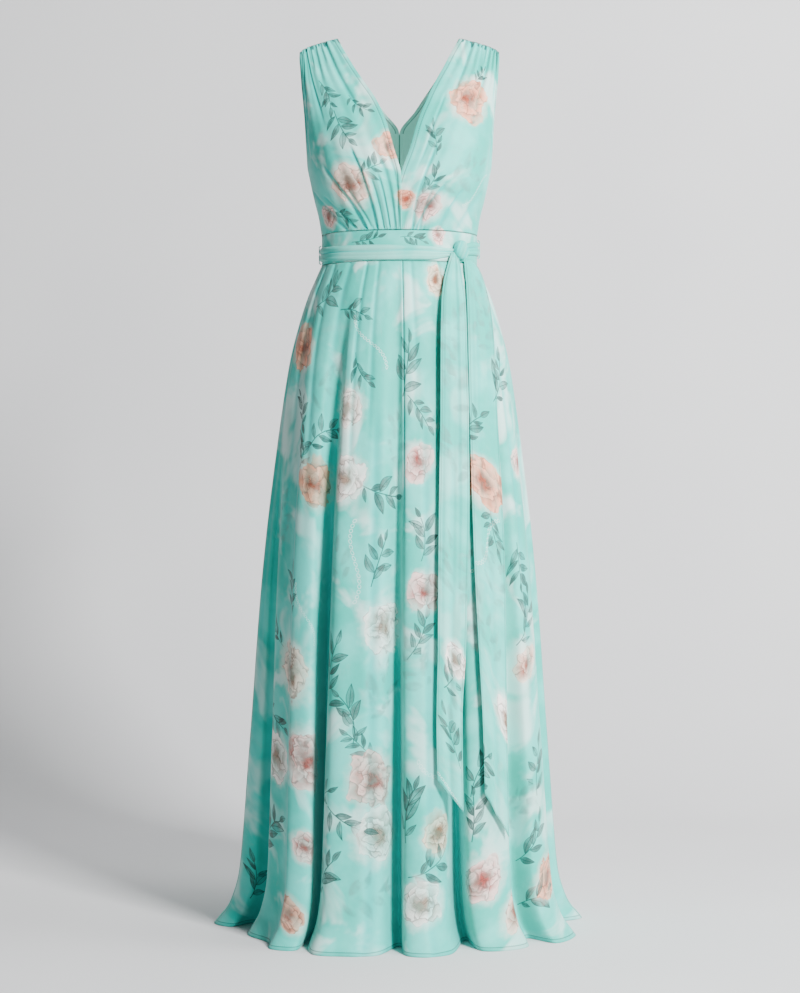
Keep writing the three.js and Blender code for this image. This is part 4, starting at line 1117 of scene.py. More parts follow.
@dataclass(frozen=True)
class BodicePanel:
    """A bodice panel, gathered at the shoulder and at the waist.

    Attributes:
        name: The solid's name.
        neck: The panel's neck edge.
        gathers: Its gathers.
        creases: Its finer creases.
        hand: -1 on the left of the view, 1 on the right.
        back: Whether it is a back panel.
    """

    name: str
    neck: tuple[NeckRow, ...]
    gathers: tuple[Gather, ...]
    creases: tuple[Crease, ...]
    hand: int
    back: bool
    seam_puckers: int = 15
    seam_pinches: int = 10

    def columns(self) -> np.ndarray:
        """Shares of the way across, closer together along both edges."""
        return np.concatenate([np.linspace(0, 0.06, 12), np.linspace(0.06, 0.95, 104)[1:],
                               np.linspace(0.95, 1, 10)[1:]])

    def parts(self) -> np.ndarray:
        """Shares of the way down, closer together along both gathered seams."""
        return np.concatenate([np.linspace(0, 0.05, 12), np.linspace(0.05, 0.93, 92)[1:],
                               np.linspace(0.93, 1, 14)[1:]])

    def smooth_form(self, columns: np.ndarray, parts: np.ndarray) -> np.ndarray:
        """The panel's form before its gathers."""
        neck = {key: read_rows(self.neck, key, parts)[:, None] for key in ("drop", "x", "y", "tuck")}
        side = {key: read_rows(SIDE_EDGE, key, parts)[:, None] for key in ("drop", "x")}
        side_y = read_rows(SIDE_EDGE, "back_y" if self.back else "front_y", parts)[:, None]
        full = read_rows(SIDE_EDGE, "back_full" if self.back else "front_full", parts)[:, None]
        share = columns[None, :] ** (1 + WAIST_CROWDING * parts[:, None] ** CROWDING_BEND)
        rest = 1 - share
        reach = side["x"] - neck["x"]
        weights = (rest ** 3, 3 * rest ** 2 * share, 3 * rest * share ** 2, share ** 3)
        xs = (neck["x"], neck["x"] + 0.55 * reach, side["x"], side["x"])
        ys = (neck["y"], neck["y"], side_y + 0.55 * (neck["y"] - side_y), side_y)
        x = sum(w * v for w, v in zip(weights, xs))
        y = sum(w * v for w, v in zip(weights, ys)) + full * np.sin(np.pi * share)
        y = y - neck["tuck"] * (1 - smoothstep(share, TUCK_EASES, TUCK_ENDS))
        drop = neck["drop"] + (side["drop"] - neck["drop"]) * share
        return np.stack([self.hand * x, y if self.back else -y, -drop], axis=-1)

    def gather_height(self, columns: np.ndarray, parts: np.ndarray) -> np.ndarray:
        """How far the gathers stand proud, each a rounded ridge between sharp valleys."""
        count = len(self.gathers)
        place = columns * count
        index = np.minimum(place.astype(int), count - 1)
        table = np.array(self.gathers)[index]
        stops = np.array([0, BUST_PART, HIGH_PART, 1])
        depth = np.stack([np.interp(parts, stops, row) for row in table], axis=1)
        calm = np.interp(parts, CALM_PARTS, CALM_SHARES)[:, None]
        return depth * calm * np.sin(np.pi * (place - index))[None, :] ** 1.7

    def puckers(self, columns: np.ndarray, down: np.ndarray) -> tuple[np.ndarray, np.ndarray, np.ndarray]:
        """Small puckers where the gathering threads draw the cloth in.

        Args:
            columns: Shares of the way across.
            down: Each row's distance from the shoulder seam, in millimetres.

        Returns:
            How far they stand proud, how deep in a pucker each point lies, from 0 to 1, and how tightly
            the shoulder's thread pinches it there; the last two set painted shade.
        """
        wave = np.abs(np.sin(np.pi * (columns * self.seam_puckers + 0.3 * np.sin(columns * 17))))[None, :]
        shoulder = (smoothstep(down, 0, 3) - smoothstep(down, 3, 14))[:, None]
        middle = 1 - smoothstep(columns, 0.4, 0.75)
        fine = np.abs(np.sin(np.pi * (columns * 34 + 0.3 * np.sin(columns * 23))))[None, :]
        waist = (1 - smoothstep(down[-1] - down, 1, 16))[:, None] * middle[None, :] * (not self.back)
        height = shoulder * 1.9 * (wave - 0.5) + waist * 1.2 * (fine - 0.5)
        sunk = shoulder * smoothstep(0.5 - wave, 0, 0.5) + waist * 0.7 * smoothstep(0.5 - fine, 0, 0.5)
        reach = 12 + 4 * np.sin(columns * 57) + 2 * np.sin(columns * 91)
        drawn = np.abs(np.sin(np.pi * (columns * self.seam_pinches + 0.35 * np.sin(columns * 17))))[None, :]
        reached = smoothstep(down[:, None] / reach[None, :], 0.6, 1.1)
        pinch_shade = smoothstep(0.72 - drawn, 0, 0.25) * (1 - reached)
        return height, np.maximum(sunk, pinch_shade), pinch_shade

    def normals(self, form: np.ndarray, parts: np.ndarray) -> np.ndarray:
        """Outward normals, level or upright where a seam needs them."""
        facing = 1 if self.back == (self.hand < 0) else -1
        normals = grid_normals(form) * facing
        seam = form[0, -1] - form[0, 0]
        up = np.array([-seam[2] * np.sign(seam[0]), 0, abs(seam[0])])
        ease = (1 - smoothstep(parts, 0, 0.035))[:, None, None]
        normals = unit(normals * (1 - ease) + unit(up) * ease)
        low = parts >= UNDERARM_PART
        normals[low, -1, 1] = 0
        if self.back:
            normals[parts >= BACK_NECK_PART, 0, 0] = 0
        normals[-1, :, 2] = 0
        return unit(normals)

    def build(self) -> Cloth:
        """The panel's cloth."""
        columns, parts = self.columns(), self.parts()
        form = self.smooth_form(columns, parts)
        normals = self.normals(form, parts)
        steps = np.linalg.norm(np.diff(form, axis=1), axis=2)
        from_neck = np.hstack([np.zeros((len(form), 1)), steps.cumsum(axis=1)])
        from_side = from_neck[:, -1:] - from_neck
        down = np.linalg.norm(np.diff(form, axis=0), axis=2).mean(axis=1).cumsum()
        down = np.concatenate([[0.0], down])
        height = self.gather_height(columns, parts)
        pucker, sunk, pinch_shade = self.puckers(columns, down)
        pressed = crease_depth(self.creases, columns, parts)
        edges = smoothstep(from_neck, 0, 6) * smoothstep(from_side, 0, 6)
        pressed = pressed * edges
        sewn = (1 - smoothstep(parts, 0.985, 1.0))[:, None]
        open_side = (parts < UNDERARM_PART)[:, None]
        groove = 0.5 * np.exp(-((from_neck - EDGE_BAND) / 0.9) ** 2)
        groove += 0.4 * np.exp(-((from_side - EDGE_BAND) / 0.9) ** 2) * open_side
        lift = height + pucker * edges - (pressed + groove) * sewn
        points = form + normals * np.maximum(lift, -2.4)[..., None]
        # Painted shade lies in the creases, puckers and pinches.
        painted_fold_shade = pressed * 0.3 + sunk * 0.95 * edges
        edge = np.where(open_side, np.minimum(from_neck, from_side), from_neck) / EDGE_BAND
        # Where the shoulder's thread pinches the cloth, the seam's dark line runs down as painted shade.
        seam = np.clip(np.minimum(down, down[-1] - down), 0, SEAM_REACH)[:, None] * (1 - pinch_shade)
        seam = np.where(open_side, seam, np.minimum(seam, from_side))
        if self.back:
            closed = (parts >= BACK_NECK_PART)[:, None]
            edge = np.where(closed, FAR, edge)
            seam = np.where(closed, np.minimum(seam, from_neck), seam)
            points[parts >= BACK_NECK_PART, 0, 0] = 0
        if self.back == (self.hand > 0):
            points, painted_fold_shade, edge, seam = (grid[:, ::-1] for grid in (points, painted_fold_shade, edge, seam))
        shift = (900.0 * self.hand, 2600.0 if self.back else 1300.0)
        return Cloth(self.name, points, painted_fold_shade=painted_fold_shade, edge=edge, seam=seam, gathered=0.45, shift=shift)


@dataclass(frozen=True)
class Skirt:
    """The full skirt, which falls in deep folds from the waistband to the floor."""

    steps: int = 13
    rows: int = 150
    shrink: float = 0.35

    def drops(self) -> np.ndarray:
        """Drops of the rows, closer together at the waist and at the hem."""
        share = np.linspace(0, 1, self.rows)
        eased = share - 0.09 * np.sin(2 * np.pi * share)
        return SKIRT_DROP + (HEM_DROP - SKIRT_DROP) * eased

    def section(self, drop: float, places: np.ndarray) -> np.ndarray:
        """Points of the skirt's section at a drop.

        Args:
            drop: The drop.
            places: Places along the section, in folds.

        Returns:
            The points' x and y.
        """
        down = (drop - SKIRT_DROP) / (HEM_DROP - SKIRT_DROP)
        half, deep = float(read_rows(SKIRT, "half", drop)), float(read_rows(SKIRT, "deep", drop))
        table = np.array(FOLDS)
        grown = np.clip((down - table[:, 3]) / (1 - table[:, 3]), 0, 1) ** FOLD_GROWTH
        turns = np.radians(table[:, 0])
        across = np.sin(turns) * (1 - grown) + table[:, 1] * grown
        front = np.cos(turns) * (1 - grown) + table[:, 2] * grown
        bends = np.stack([half * across, -deep * front], axis=1)
        index = np.floor(places).astype(int)
        t = (places - index)[:, None]
        near = [bends[(index + k) % len(bends)] for k in (-1, 0, 1, 2)]
        gaps = [np.linalg.norm(near[k + 1] - near[k], axis=1, keepdims=True) ** 0.5 for k in range(3)]
        slope_in = ((near[1] - near[0]) / gaps[0] - (near[2] - near[0]) / (gaps[0] + gaps[1])
                    + (near[2] - near[1]) / gaps[1]) * gaps[1]
        slope_out = ((near[2] - near[1]) / gaps[1] - (near[3] - near[1]) / (gaps[1] + gaps[2])
                     + (near[3] - near[2]) / gaps[2]) * gaps[1]
        square, cube = t * t, t * t * t
        return (near[1] * (2 * cube - 3 * square + 1) + slope_in * (cube - 2 * square + t)
                + near[2] * (3 * square - 2 * cube) + slope_out * (cube - square))

    def ring(self, places: np.ndarray) -> tuple[np.ndarray, np.ndarray]:
        """All rows of the skirt at places round it, and the painted shade of each point, from how deep in a
        fold it lies.
        """
        drops = self.drops()
        flat = np.stack([self.section(drop, places) for drop in drops])
        heights = np.broadcast_to(-drops[:, None, None], flat.shape[:2] + (1,))
        points = np.concatenate([flat, heights], axis=2)
        points[0, :, 2] = -SKIRT_DROP - SEAM
        return points, np.maximum(self.sunk(points, drops), self.painted_slope_shade(places, drops))

    @staticmethod
    def sunk(points: np.ndarray, drops: np.ndarray) -> np.ndarray:
        """How deep points lie inside the skirt's outline, from 0 to 1."""
        half = read_rows(SKIRT, "half", drops)[:, None]
        deep = read_rows(SKIRT, "deep", drops)[:, None]
        return smoothstep(0.965 - np.hypot(points[..., 0] / half, points[..., 1] / deep), 0.0, 0.22)

    def painted_slope_shade(self, places: np.ndarray, drops: np.ndarray) -> np.ndarray:
        """Painted shade of the cloth, which grows over a fold's whole slope and ends on the next ridge.

        Args:
            places: Places along the section, in folds.
            drops: Drops of the rows.

        Returns:
            How strong the painted shade is at each point, from 0 to 1.
        """
        bends = np.arange(len(FOLDS))
        points = np.stack([self.section(drop, bends.astype(float)) for drop in drops])
        depth = self.sunk(points, drops)
        depth = np.maximum(depth, FOOT_SHADE * np.roll(depth, -1, axis=1))
        depth = np.maximum(depth, FOOT_SHADE ** 2 * np.roll(depth, -2, axis=1))
        index = np.floor(places).astype(int) % len(FOLDS)
        t = places - np.floor(places)
        here, following = depth[:, index], depth[:, (index + 1) % len(FOLDS)]
        falls = following > here
        ease = np.where(falls, smoothstep(t, 0.0, 0.9)[None, :], smoothstep(t, 0.45, 1.0)[None, :])
        return here + (following - here) * ease

    def panel(self, name: str, first: int, last: int, shift: float) -> Cloth:
        """One cut panel, from one fold to another.

        Args:
            name: The solid's name.
            first: Number of the fold at its first edge.
            last: Number of the fold at its last edge.
            shift: Where it lies on the printed cloth.

        Returns:
            The cloth.
        """
        places = np.linspace(first, last, (last - first) * self.steps + 1)
        points, deep = self.ring(places)
        normals = grid_normals(points)
        normals[[0, -1], :, 2] = 0
        normals = unit(normals)
        parts = (self.drops() - SKIRT_DROP) / (HEM_DROP - SKIRT_DROP)
        pressed = crease_depth(SKIRT_CREASES, places, parts)
        edges = smoothstep(places - first, 0, 0.3) * smoothstep(last - places, 0, 0.3)
        pressed = pressed * edges[None, :]
        from_hem = (HEM_DROP - self.drops())[:, None]
        groove = 0.4 * np.exp(-((from_hem - HEM_TURN) / 2.0) ** 2)
        points = points - normals * (pressed + groove + self.shrink)[..., None]
        points[:, 0] += unit(points[:, 1] - points[:, 0]) * SEAM / 2
        points[:, -1] += unit(points[:, -2] - points[:, -1]) * SEAM / 2
        # Painted shade lies deep in the folds and in the creases.
        painted_fold_shade = deep + pressed * 0.24 * (1 - deep)
        steps = np.linalg.norm(np.diff(points, axis=1), axis=2).cumsum(axis=1)
        from_first = np.hstack([np.zeros((self.rows, 1)), steps])
        seam = np.minimum(from_first, from_first[:, -1:] - from_first)
        return Cloth(name, points, painted_fold_shade=painted_fold_shade, edge=from_hem / HEM_TURN, seam=seam, gathered=0.15,
                     shift=(shift, 0.0))

    def build(self) -> list[tuple[Cloth, Face]]:
        """The three panels, each with the side that it is seen from."""
        return [
            (self.panel("skirt_front", 0, RIGHT_SIDE_FOLD, 0.0), Face.FRONT),
            (self.panel("skirt_back_left", RIGHT_SIDE_FOLD, CENTRE_BACK_FOLD, 2600.0), Face.BACK),
            (self.panel("skirt_back_right", CENTRE_BACK_FOLD, len(FOLDS), 5200.0), Face.BACK),
        ]


def waist_point(turn: Any, drop: Any, out: Any) -> np.ndarray:
    """Points round the waist.

    Args:
        turn: Their turns.
        drop: Their drops.
        out: Their distances outside the waist's ellipse.

    Returns:
        The points.
    """
    turn, drop, out = np.broadcast_arrays(np.radians(turn), drop, out)
    normal = unit(np.stack([np.sin(turn) / WAIST_HALF, -np.cos(turn) / WAIST_DEEP], axis=-1))
    flat = np.stack([WAIST_HALF * np.sin(turn), -WAIST_DEEP * np.cos(turn)], axis=-1)
    flat = flat + normal * out[..., None]
    return np.concatenate([flat, -drop[..., None].astype(float)], axis=-1)


@dataclass(frozen=True)
class Waistband:
    """A part of the waistband, with small puckers under the gathers of its seams."""

    name: str
    first: float
    last: float
    rows: int = 12

    def build(self) -> Cloth:
        """The band's cloth."""
        gap = math.degrees(SEAM / 2 / WAIST_DEEP)
        turns = np.linspace(self.first + gap, self.last - gap, int(self.last - self.first) * 2)
        parts = np.linspace(0, 1, self.rows)
        drops = WAIST_DROP + SEAM + (SKIRT_DROP - WAIST_DROP - SEAM) * parts
        pucker = 0.12 + 0.35 * np.abs(np.sin(np.radians(turns * 17) + np.sin(np.radians(turns * 5))))
        fade = 0.3 + 0.7 * np.abs(2 * parts - 1) ** 2
        out = -pucker[None, :] * fade[:, None]
        points = waist_point(turns[None, :], drops[:, None], out)
        seam = np.minimum(drops - drops[0], drops[-1] - drops)[:, None]
        # Painted shade lies in the puckers.
        return Cloth(self.name, points, painted_fold_shade=-out * 0.4, seam=seam, shift=(self.first * 10, -2000.0))


@dataclass(frozen=True)
class SashBelt:
    """The sash where it is wrapped round the waist, in soft rolls that draw together at the knot."""

    columns: int = 360
    rows: int = 40
    knot_turn: float = 51.0

    def build(self) -> Cloth:
        """The belt's cloth."""
        turns = -90 + 360 * np.arange(self.columns) / self.columns
        shares = np.linspace(0, 1, self.rows)
        top = read_rows(BELT, "top", turns)
        bottom = read_rows(BELT, "bottom", turns)
        wave = 0.05 * np.sin(np.radians(turns * 2 + 40)) + 0.03 * np.sin(np.radians(turns * 5))
        shifted = np.clip(shares[:, None] + wave[None, :] * np.sin(np.pi * shares)[:, None], 0, 1)
        out = read_rows(BELT_PROFILE, "out", shifted)
        from_knot = np.abs((turns - self.knot_turn + 180) % 360 - 180)
        near = np.exp(-(from_knot / 22) ** 2)
        ripple = 0.45 * near[None, :] * np.sin(shares * 26)[:, None] * np.sin(np.pi * shares)[:, None]
        fine = 0.14 * np.sin(shares[:, None] * 34 + np.radians(turns * 3)[None, :])
        fine = fine * np.sin(np.pi * shares)[:, None]
        drop = top[None, :] + (bottom - top)[None, :] * shares[:, None]
        lift = ON_CLOTH + out + ripple + fine
        lift[[0, -1]] = 0.1
        points = waist_point(turns[None, :], drop, lift)
        # Painted shade lies between the belt's rolls and fades towards its edges.
        painted_fold_shade = smoothstep(2.6 - out - ripple * 2 - fine * 2, 0.0, 1.4)
        painted_fold_shade = painted_fold_shade * np.sin(np.pi * shares)[:, None] ** 0.3
        return Cloth("sash_belt", points, closed=True, painted_fold_shade=painted_fold_shade, shift=(0.0, -3000.0))


@dataclass(frozen=True)
class SashKnot:
    """The knot on the left hip: one wrap of the sash over the belt, drawn in by folds."""

    turn: float = 49.0
    drop: float = 347.5
    half: float = 14.0
    tall: float = 15.5
    deep: float = 9.5
    clear: float = 4.2
    columns: int = 56
    rows: int = 48

    def build(self) -> Cloth:
        """The knot's cloth."""
        centre = waist_point(self.turn, self.drop, self.clear)
        out = waist_point(self.turn, self.drop, self.clear + 1) - centre
        across = unit(np.array([-out[1], out[0], 0]))
        u = np.linspace(-1, 1, self.columns)[None, :]
        v = np.linspace(-1, 1, self.rows)[:, None]
        x = u * np.sqrt(1 - v * v / 2) * self.half
        z = -v * np.sqrt(1 - u * u / 2) * self.tall
        dome = np.sqrt(np.maximum((1 - u * u) * (1 - v * v), 0)) ** 0.7
        slant = 0.9 * u + 0.5 * v
        folds = 1.5 * np.cos(2 * np.pi * slant) + 0.5 * np.cos(2 * np.pi * (2.3 * slant + 0.3 * u * v))
        height = 0.4 + (self.deep - 0.6) * dome + folds * dome
        height[(np.abs(u) == 1) | (np.abs(v) == 1)] = -1.5
        points = (centre + across * x[..., None] + out * height[..., None]
                  + np.array([0, 0, 1.0]) * z[..., None])
        # Painted shade lies in the knot's folds and darkens its rim.
        rim = smoothstep(np.maximum(np.abs(u), np.abs(v)), 0.72, 0.98)
        painted_fold_shade = np.maximum(smoothstep(-folds, 0.1, 1.6), rim) * 0.9
        return Cloth("sash_knot", points, painted_fold_shade=painted_fold_shade, shift=(0.0, -3400.0))


@dataclass(frozen=True)
class SashTail:
    """A hanging tail of the sash, with long soft folds."""

    name: str
    table: tuple[TailRow, ...]
    short_drop: float
    flip: bool = False
    columns: int = 40
    rows: int = 170

    def build(self) -> Cloth:
        """The tail's cloth."""
        across = np.linspace(0, 1, self.columns)[None, :]
        parts = np.linspace(0, 1, self.rows)[:, None]
        top, low = self.table[0].drop, self.table[-1].drop
        drop = top + (self.short_drop + (low - self.short_drop) * across - top) * parts
        left, right = read_rows(self.table, "left", drop), read_rows(self.table, "right", drop)
        x = left + (right - left) * across
        half, deep = read_rows(SKIRT, "half", drop), read_rows(SKIRT, "deep", drop)
        front = np.sqrt(1 - (x / half) ** 2)
        normal = unit(np.stack([x / half / half, -front / deep, np.zeros_like(x)], axis=-1))
        roll = read_rows(self.table, "roll", drop) * np.sin(2 * np.pi * across) ** 2
        creases = TAIL_CREASES
        if self.flip:
            creases = tuple(c._replace(across=1 - c.across, to_across=1 - c.to_across) for c in creases)
        pressed = crease_depth(creases, across[0], parts[:, 0])
        pressed = np.minimum(pressed, 1.2) * np.sin(np.pi * across) ** 0.4
        sway = 0.9 * np.sin(parts * 11 + across * 2.5) * smoothstep(parts, 0.05, 0.4)
        lift = read_rows(self.table, "out", drop) + roll - pressed + sway * 0.6
        points = np.stack([x, -deep * front, -drop], axis=-1) + normal * lift[..., None]
        # Painted shade lies in the creases.
        painted_fold_shade = pressed * 0.25
        steps = np.linalg.norm(np.diff(points, axis=1), axis=2).cumsum(axis=1)
        from_left = np.hstack([np.zeros((self.rows, 1)), steps])
        from_right = from_left[:, -1:] - from_left
        from_end = np.linalg.norm(np.diff(points, axis=0), axis=2)[::-1].cumsum(axis=0)[::-1]
        from_end = np.vstack([from_end, np.zeros((1, self.columns))])
        edge = np.minimum(np.minimum(from_left, from_right), from_end) / SASH_TURN
        return Cloth(self.name, points, painted_fold_shade=painted_fold_shade, edge=edge,
                     shift=(600.0 if self.flip else 0.0, -4200.0))


@dataclass(frozen=True)
class ThreadLoop:
    """A loop of two twisted threads that carries the sash at a side seam."""

    name: str
    turn: float
    tall: float = 30.0
    stand: float = 4.6
    strand: float = 0.55
    twist_pitch: float = 3.2

    def path(self) -> np.ndarray:
        """The loop's middle line."""
        top = read_rows(BELT, "top", self.turn if self.turn < 180 else self.turn - 360)
        bottom = read_rows(BELT, "bottom", self.turn if self.turn < 180 else self.turn - 360)
        middle = (float(top) + float(bottom)) / 2
        corner = 1.6
        below = [-self.tall / 2, -self.tall / 2 + corner * 0.4, -self.tall / 2 + corner * 1.6,
                 self.tall / 2 - corner * 1.6, self.tall / 2 - corner * 0.4, self.tall / 2]
        out = [ON_CLOTH + 0.5, self.stand * 0.55, self.stand - 0.6, self.stand - 0.6,
               self.stand * 0.55, ON_CLOTH + 0.5]
        at = np.linspace(0, 5, 90)
        return waist_point(self.turn, middle + np.interp(at, range(6), below), np.interp(at, range(6), out))

    def build(self, wardrobe: Wardrobe) -> bpy.types.Object:
        """The loop as one mesh of two strands."""
        path = self.path()
        tangent = unit(np.gradient(path, axis=0))
        side = unit(np.cross(tangent, waist_point(self.turn, 0, 1) - waist_point(self.turn, 0, 0)))
        other = np.cross(tangent, side)
        length = np.concatenate([[0], np.linalg.norm(np.diff(path, axis=0), axis=1).cumsum()])
        around = np.linspace(0, 2 * np.pi, 9)[:-1]
        points, faces = [], []
        for strand in range(2):
            angle = 2 * np.pi * length / self.twist_pitch + np.pi * strand
            core = path + self.strand * (side * np.cos(angle)[:, None] + other * np.sin(angle)[:, None])
            ring = core[:, None, :] + self.strand * (
                side[:, None, :] * np.cos(around)[None, :, None]
                + other[:, None, :] * np.sin(around)[None, :, None])
            index = np.arange(ring.shape[0] * 8).reshape(-1, 8) + strand * ring.shape[0] * 8
            wrapped = np.hstack([index, index[:, :1]])
            quads = np.stack([wrapped[:-1, :-1], wrapped[:-1, 1:], wrapped[1:, 1:], wrapped[1:, :-1]],
                             axis=-1).reshape(-1, 4)
            points.append(ring.reshape(-1, 3))
            faces += quads.tolist() + [index[0, ::-1].tolist(), index[-1].tolist()]
        item = wardrobe.mesh_object(f"{self.name}_thread", np.concatenate(points), faces)
        item.data.materials.append(wardrobe.thread)
        wardrobe.put_on(item, Slot.THREAD, self.name)
        return item


@dataclass(frozen=True)
class Stitching:
    """Rows of small stitches along seams and turned edges, joined into one mesh."""

    pitch: float = 3.4
    length: float = 2.2
    half: float = 0.28
    proud: float = 0.3

    def row(self, path: np.ndarray, normals: np.ndarray) -> np.ndarray:
        """Stitches along a path.

        Args:
            path: Points of the path, close together.
            normals: The cloth's normal at each of them.

        Returns:
            Their points, six for each stitch.
        """
        length = np.concatenate([[0], np.linalg.norm(np.diff(path, axis=0), axis=1).cumsum()])
        count = max(int(length[-1] / self.pitch), 1)
        at = (np.arange(count) + 0.5) * length[-1] / count
        middle = np.stack([np.interp(at, length, path[:, k]) for k in range(3)], axis=1)
        up = unit(np.stack([np.interp(at, length, normals[:, k]) for k in range(3)], axis=1))
        ahead = np.stack([np.interp(at + 0.5, length, path[:, k]) for k in range(3)], axis=1)
        along = unit(ahead - middle + 1e-6)
        side = np.cross(up, along)
        lift = middle + up * 0.1
        return np.stack([
            lift - along * self.length / 2, lift + along * self.length / 2,
            lift - side * self.half, lift + side * self.half,
            lift - up * self.half, lift + up * self.proud,
        ], axis=1)

    def build(self, name: str, rows: Sequence[tuple[np.ndarray, np.ndarray]],
              wardrobe: Wardrobe) -> bpy.types.Object:
        """All stitches of a kind.

        Args:
            name: Name of the piece.
            rows: Paths with their normals.
            wardrobe: What makes the pieces.

        Returns:
            The joined stitches.
        """
        points = np.concatenate([self.row(path, normals) for path, normals in rows])
        pattern = np.array([[0, 2, 5], [2, 1, 5], [1, 3, 5], [3, 0, 5],
                            [2, 0, 4], [1, 2, 4], [3, 1, 4], [0, 3, 4]])
        faces = (np.arange(len(points)) * 6)[:, None, None] + pattern[None]
        item = wardrobe.mesh_object(name, points, faces.reshape(-1, 3).tolist())
        item.data.materials.append(wardrobe.thread)
        wardrobe.put_on(item, Slot.THREAD)
        return item


@dataclass(frozen=True)
class Studio:
    """Pale paper sweep, soft lights and the camera."""

    camera_out: float = 3.46
    camera_height: float = -0.745
    lens: float = 76.4
    sensor: float = 36.0
    sweep_start: float = 1.0
    sweep_radius: float = 0.9
    half_width: float = 5.0

    def paper(self) -> None:
        """The paper: a floor that sweeps up behind the dress."""
        floor = -HEM_DROP * METRES - 0.0006
        bpy.ops.object.select_all(action="DESELECT")
        angles = np.linspace(0, math.pi / 2, 17)
        ys = np.concatenate([[-6.0, 0.0], self.sweep_start + self.sweep_radius * np.sin(angles),
                             [self.sweep_start + self.sweep_radius]])
        zs = np.concatenate([[0.0, 0.0], self.sweep_radius * (1 - np.cos(angles)), [5.0]]) + floor
        points = [(x, y, z) for y, z in zip(ys, zs) for x in (-self.half_width, self.half_width)]
        faces = [(2 * i, 2 * i + 1, 2 * i + 3, 2 * i + 2) for i in range(len(ys) - 1)]
        mesh = bpy.data.meshes.new("studio_paper")
        mesh.from_pydata(points, [], faces)
        mesh.shade_smooth()
        paper = bpy.data.objects.new("studio_paper", mesh)
        bpy.context.scene.collection.objects.link(paper)
        mesh.materials.append(StudioPaper().material())

    @staticmethod
    def light(name: str, place: tuple[float, float, float], aim: tuple[float, float, float],
              size: float, power: float) -> None:
        """Adds a soft square light.

        Args:
            name: Its name.
            place: Where it stands, in metres.
            aim: The point that it faces.
            size: Its side, in metres.
            power: Its power in watts.
        """
        data = bpy.data.lights.new(name, "AREA")
        data.shape = "SQUARE"
        data.size = size
        data.energy = power
        item = bpy.data.objects.new(name, data)
        item.location = place
        direction = Vector(aim) - Vector(place)
        item.rotation_euler = direction.to_track_quat("-Z", "Y").to_euler()
        bpy.context.scene.collection.objects.link(item)

    def camera(self) -> None:
        """The camera, level, at the height and distance of the photograph's."""
        data = bpy.data.cameras.new("camera")
        data.sensor_fit = "VERTICAL"
        data.sensor_height = self.sensor
        data.lens = self.lens
        item = bpy.data.objects.new("camera", data)
        item.location = (0.001, -self.camera_out, self.camera_height)
        item.rotation_euler = (math.pi / 2, 0, 0)
        bpy.context.scene.collection.objects.link(item)
        bpy.context.scene.camera = item

    def build(self) -> None:
        """Sets the studio up."""
        self.paper()
        self.camera()
        self.light("key", (2.25, -3.2, 1.1), (0, 0, -0.75), 0.9, 500)
        self.light("side", (2.8, -0.7, 0.9), (0.2, 0.6, -0.7), 1.2, 60)
        self.light("top", (0.5, 0.3, 2.2), (0, 0, -0.8), 1.2, 10)
        self.light("backdrop", (1.9, 0.2, 1.5), (0.7, 2.0, -0.3), 1.4, 30)
        world = bpy.data.worlds.new("studio")
        bpy.context.scene.world = world
        world.use_nodes = True
        background = world.node_tree.nodes["Background"]
        background.inputs["Color"].default_value = linear(STUDIO_AIR)
        background.inputs["Strength"].default_value = 0.13


def line_along(points: np.ndarray, normals: np.ndarray, distance: float) -> tuple[np.ndarray, np.ndarray]:
    """A line down a piece, at a distance from its first column.

    Args:
        points: Rows of points.
        normals: Their normals.
        distance: The distance in millimetres.

    Returns:
        The line's points and the normals there.
    """
    places, facing = [], []
    for row, normal in zip(points, normals):
        along = np.concatenate([[0.0], np.linalg.norm(np.diff(row, axis=0), axis=1).cumsum()])
        places.append([np.interp(distance, along, row[:, k]) for k in range(3)])
        facing.append([np.interp(distance, along, normal[:, k]) for k in range(3)])
    return np.array(places), np.array(facing)


def seam_paths(bodice: Sequence[Cloth], skirt: Sequence[Cloth]) -> list[tuple[np.ndarray, np.ndarray]]:
    """Paths of the visible stitching, each with its normals.

    Args:
        bodice: The bodice panels.
        skirt: The skirt panels.

    Returns:
        The paths.
    """
    paths = []
    for cloth in bodice:
        normals = grid_normals(cloth.points)
        neck_first = cloth.name in ("bodice_front_left", "bodice_back_right")
        neck_end = LAST_BACK_NECK_ROW if "back" in cloth.name else LAST_NECK_ROW
        for flip, end in ((not neck_first, neck_end), (neck_first, LAST_ARMHOLE_ROW)):
            rows = slice(FIRST_STITCHED_ROW, end)
            step = -1 if flip else 1
            paths.append(line_along(cloth.points[rows, ::step], normals[rows, ::step], EDGE_BAND))
    for cloth in skirt:
        normals = grid_normals(cloth.points)
        row = int(np.argmin(np.abs(cloth.points[:, 0, 2] + HEM_DROP - HEM_TURN)))
        paths.append((cloth.points[row, 2:-2], normals[row, 2:-2]))
    return paths


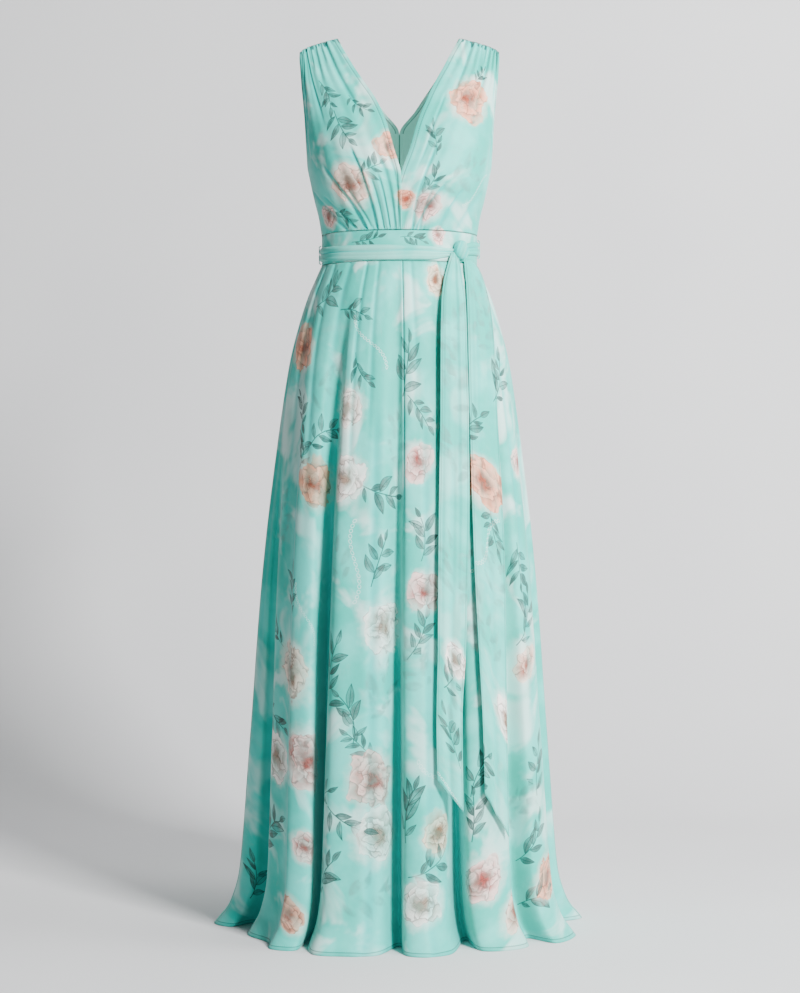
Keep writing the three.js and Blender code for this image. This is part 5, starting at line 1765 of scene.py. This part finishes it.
def main() -> None:
    """Builds the dress, its sewing and the studio."""
    logging.basicConfig(level=logging.INFO, format="%(message)s")
    wardrobe = Wardrobe(
        printed=Chiffon("printed_chiffon", printed=True).material(),
        sash=Chiffon("sash_chiffon", printed=True, misty=0.22, smudged=0.35).material(),
        # The lining is painted paler, as if lit through the chiffon, and gets no painted fold shade.
        lining=Chiffon("chiffon_lining", printed=False, colour=PAINTED_LIT_LINING, light=PAINTED_LIT_LINING, misty=0.1,
                       smudged=0.0, painted_shade_strength=0.0).material(),
        thread=Thread().material(),
    )
    bodice: list[Cloth] = []
    for panel in (
        BodicePanel("bodice_front_right", NECK_OVER, GATHERS_OVER, OVER_CREASES, -1, False),
        BodicePanel("bodice_front_left", NECK_UNDER, GATHERS_UNDER, UNDER_CREASES, 1, False),
        BodicePanel("bodice_back_right", NECK_BACK, GATHERS_BACK, BACK_CREASES, -1, True),
        BodicePanel("bodice_back_left", NECK_BACK, GATHERS_BACK, BACK_CREASES, 1, True),
    ):
        cloth = panel.build()
        bodice.append(cloth)
        wardrobe.wear(cloth, Slot.PRINTED,
                      Face.BACK if panel.back else Face.FRONT)
    for band in (
        Waistband("waistband_front", -90, 90), Waistband("waistband_back_left", 90, 180),
        Waistband("waistband_back_right", 180, 270),
    ):
        wardrobe.wear(band.build(), Slot.PRINTED,
                      Face.FRONT if band.first < 0 else Face.BACK)
    skirt = Skirt().build()
    for cloth, face in skirt:
        wardrobe.wear(cloth, Slot.PRINTED, face)
    wardrobe.wear(SashBelt().build(), Slot.SASH, Face.FRONT, 0)
    wardrobe.wear(SashKnot().build(), Slot.SASH, Face.FRONT, 0)
    for tail in (
        SashTail("sash_tail_left", TAIL_LEFT, TAIL_LEFT_SHORT),
        SashTail("sash_tail_right", TAIL_RIGHT, TAIL_RIGHT_SHORT, flip=True),
    ):
        wardrobe.wear(tail.build(), Slot.SASH, Face.FRONT, TAIL_SHELL)
    ThreadLoop("belt_loop_right", -90).build(wardrobe)
    ThreadLoop("belt_loop_left", 90).build(wardrobe)
    Stitching().build("stitches", seam_paths(bodice, [cloth for cloth, _ in skirt]), wardrobe)
    Studio().build()


if __name__ == "__main__":
    main()
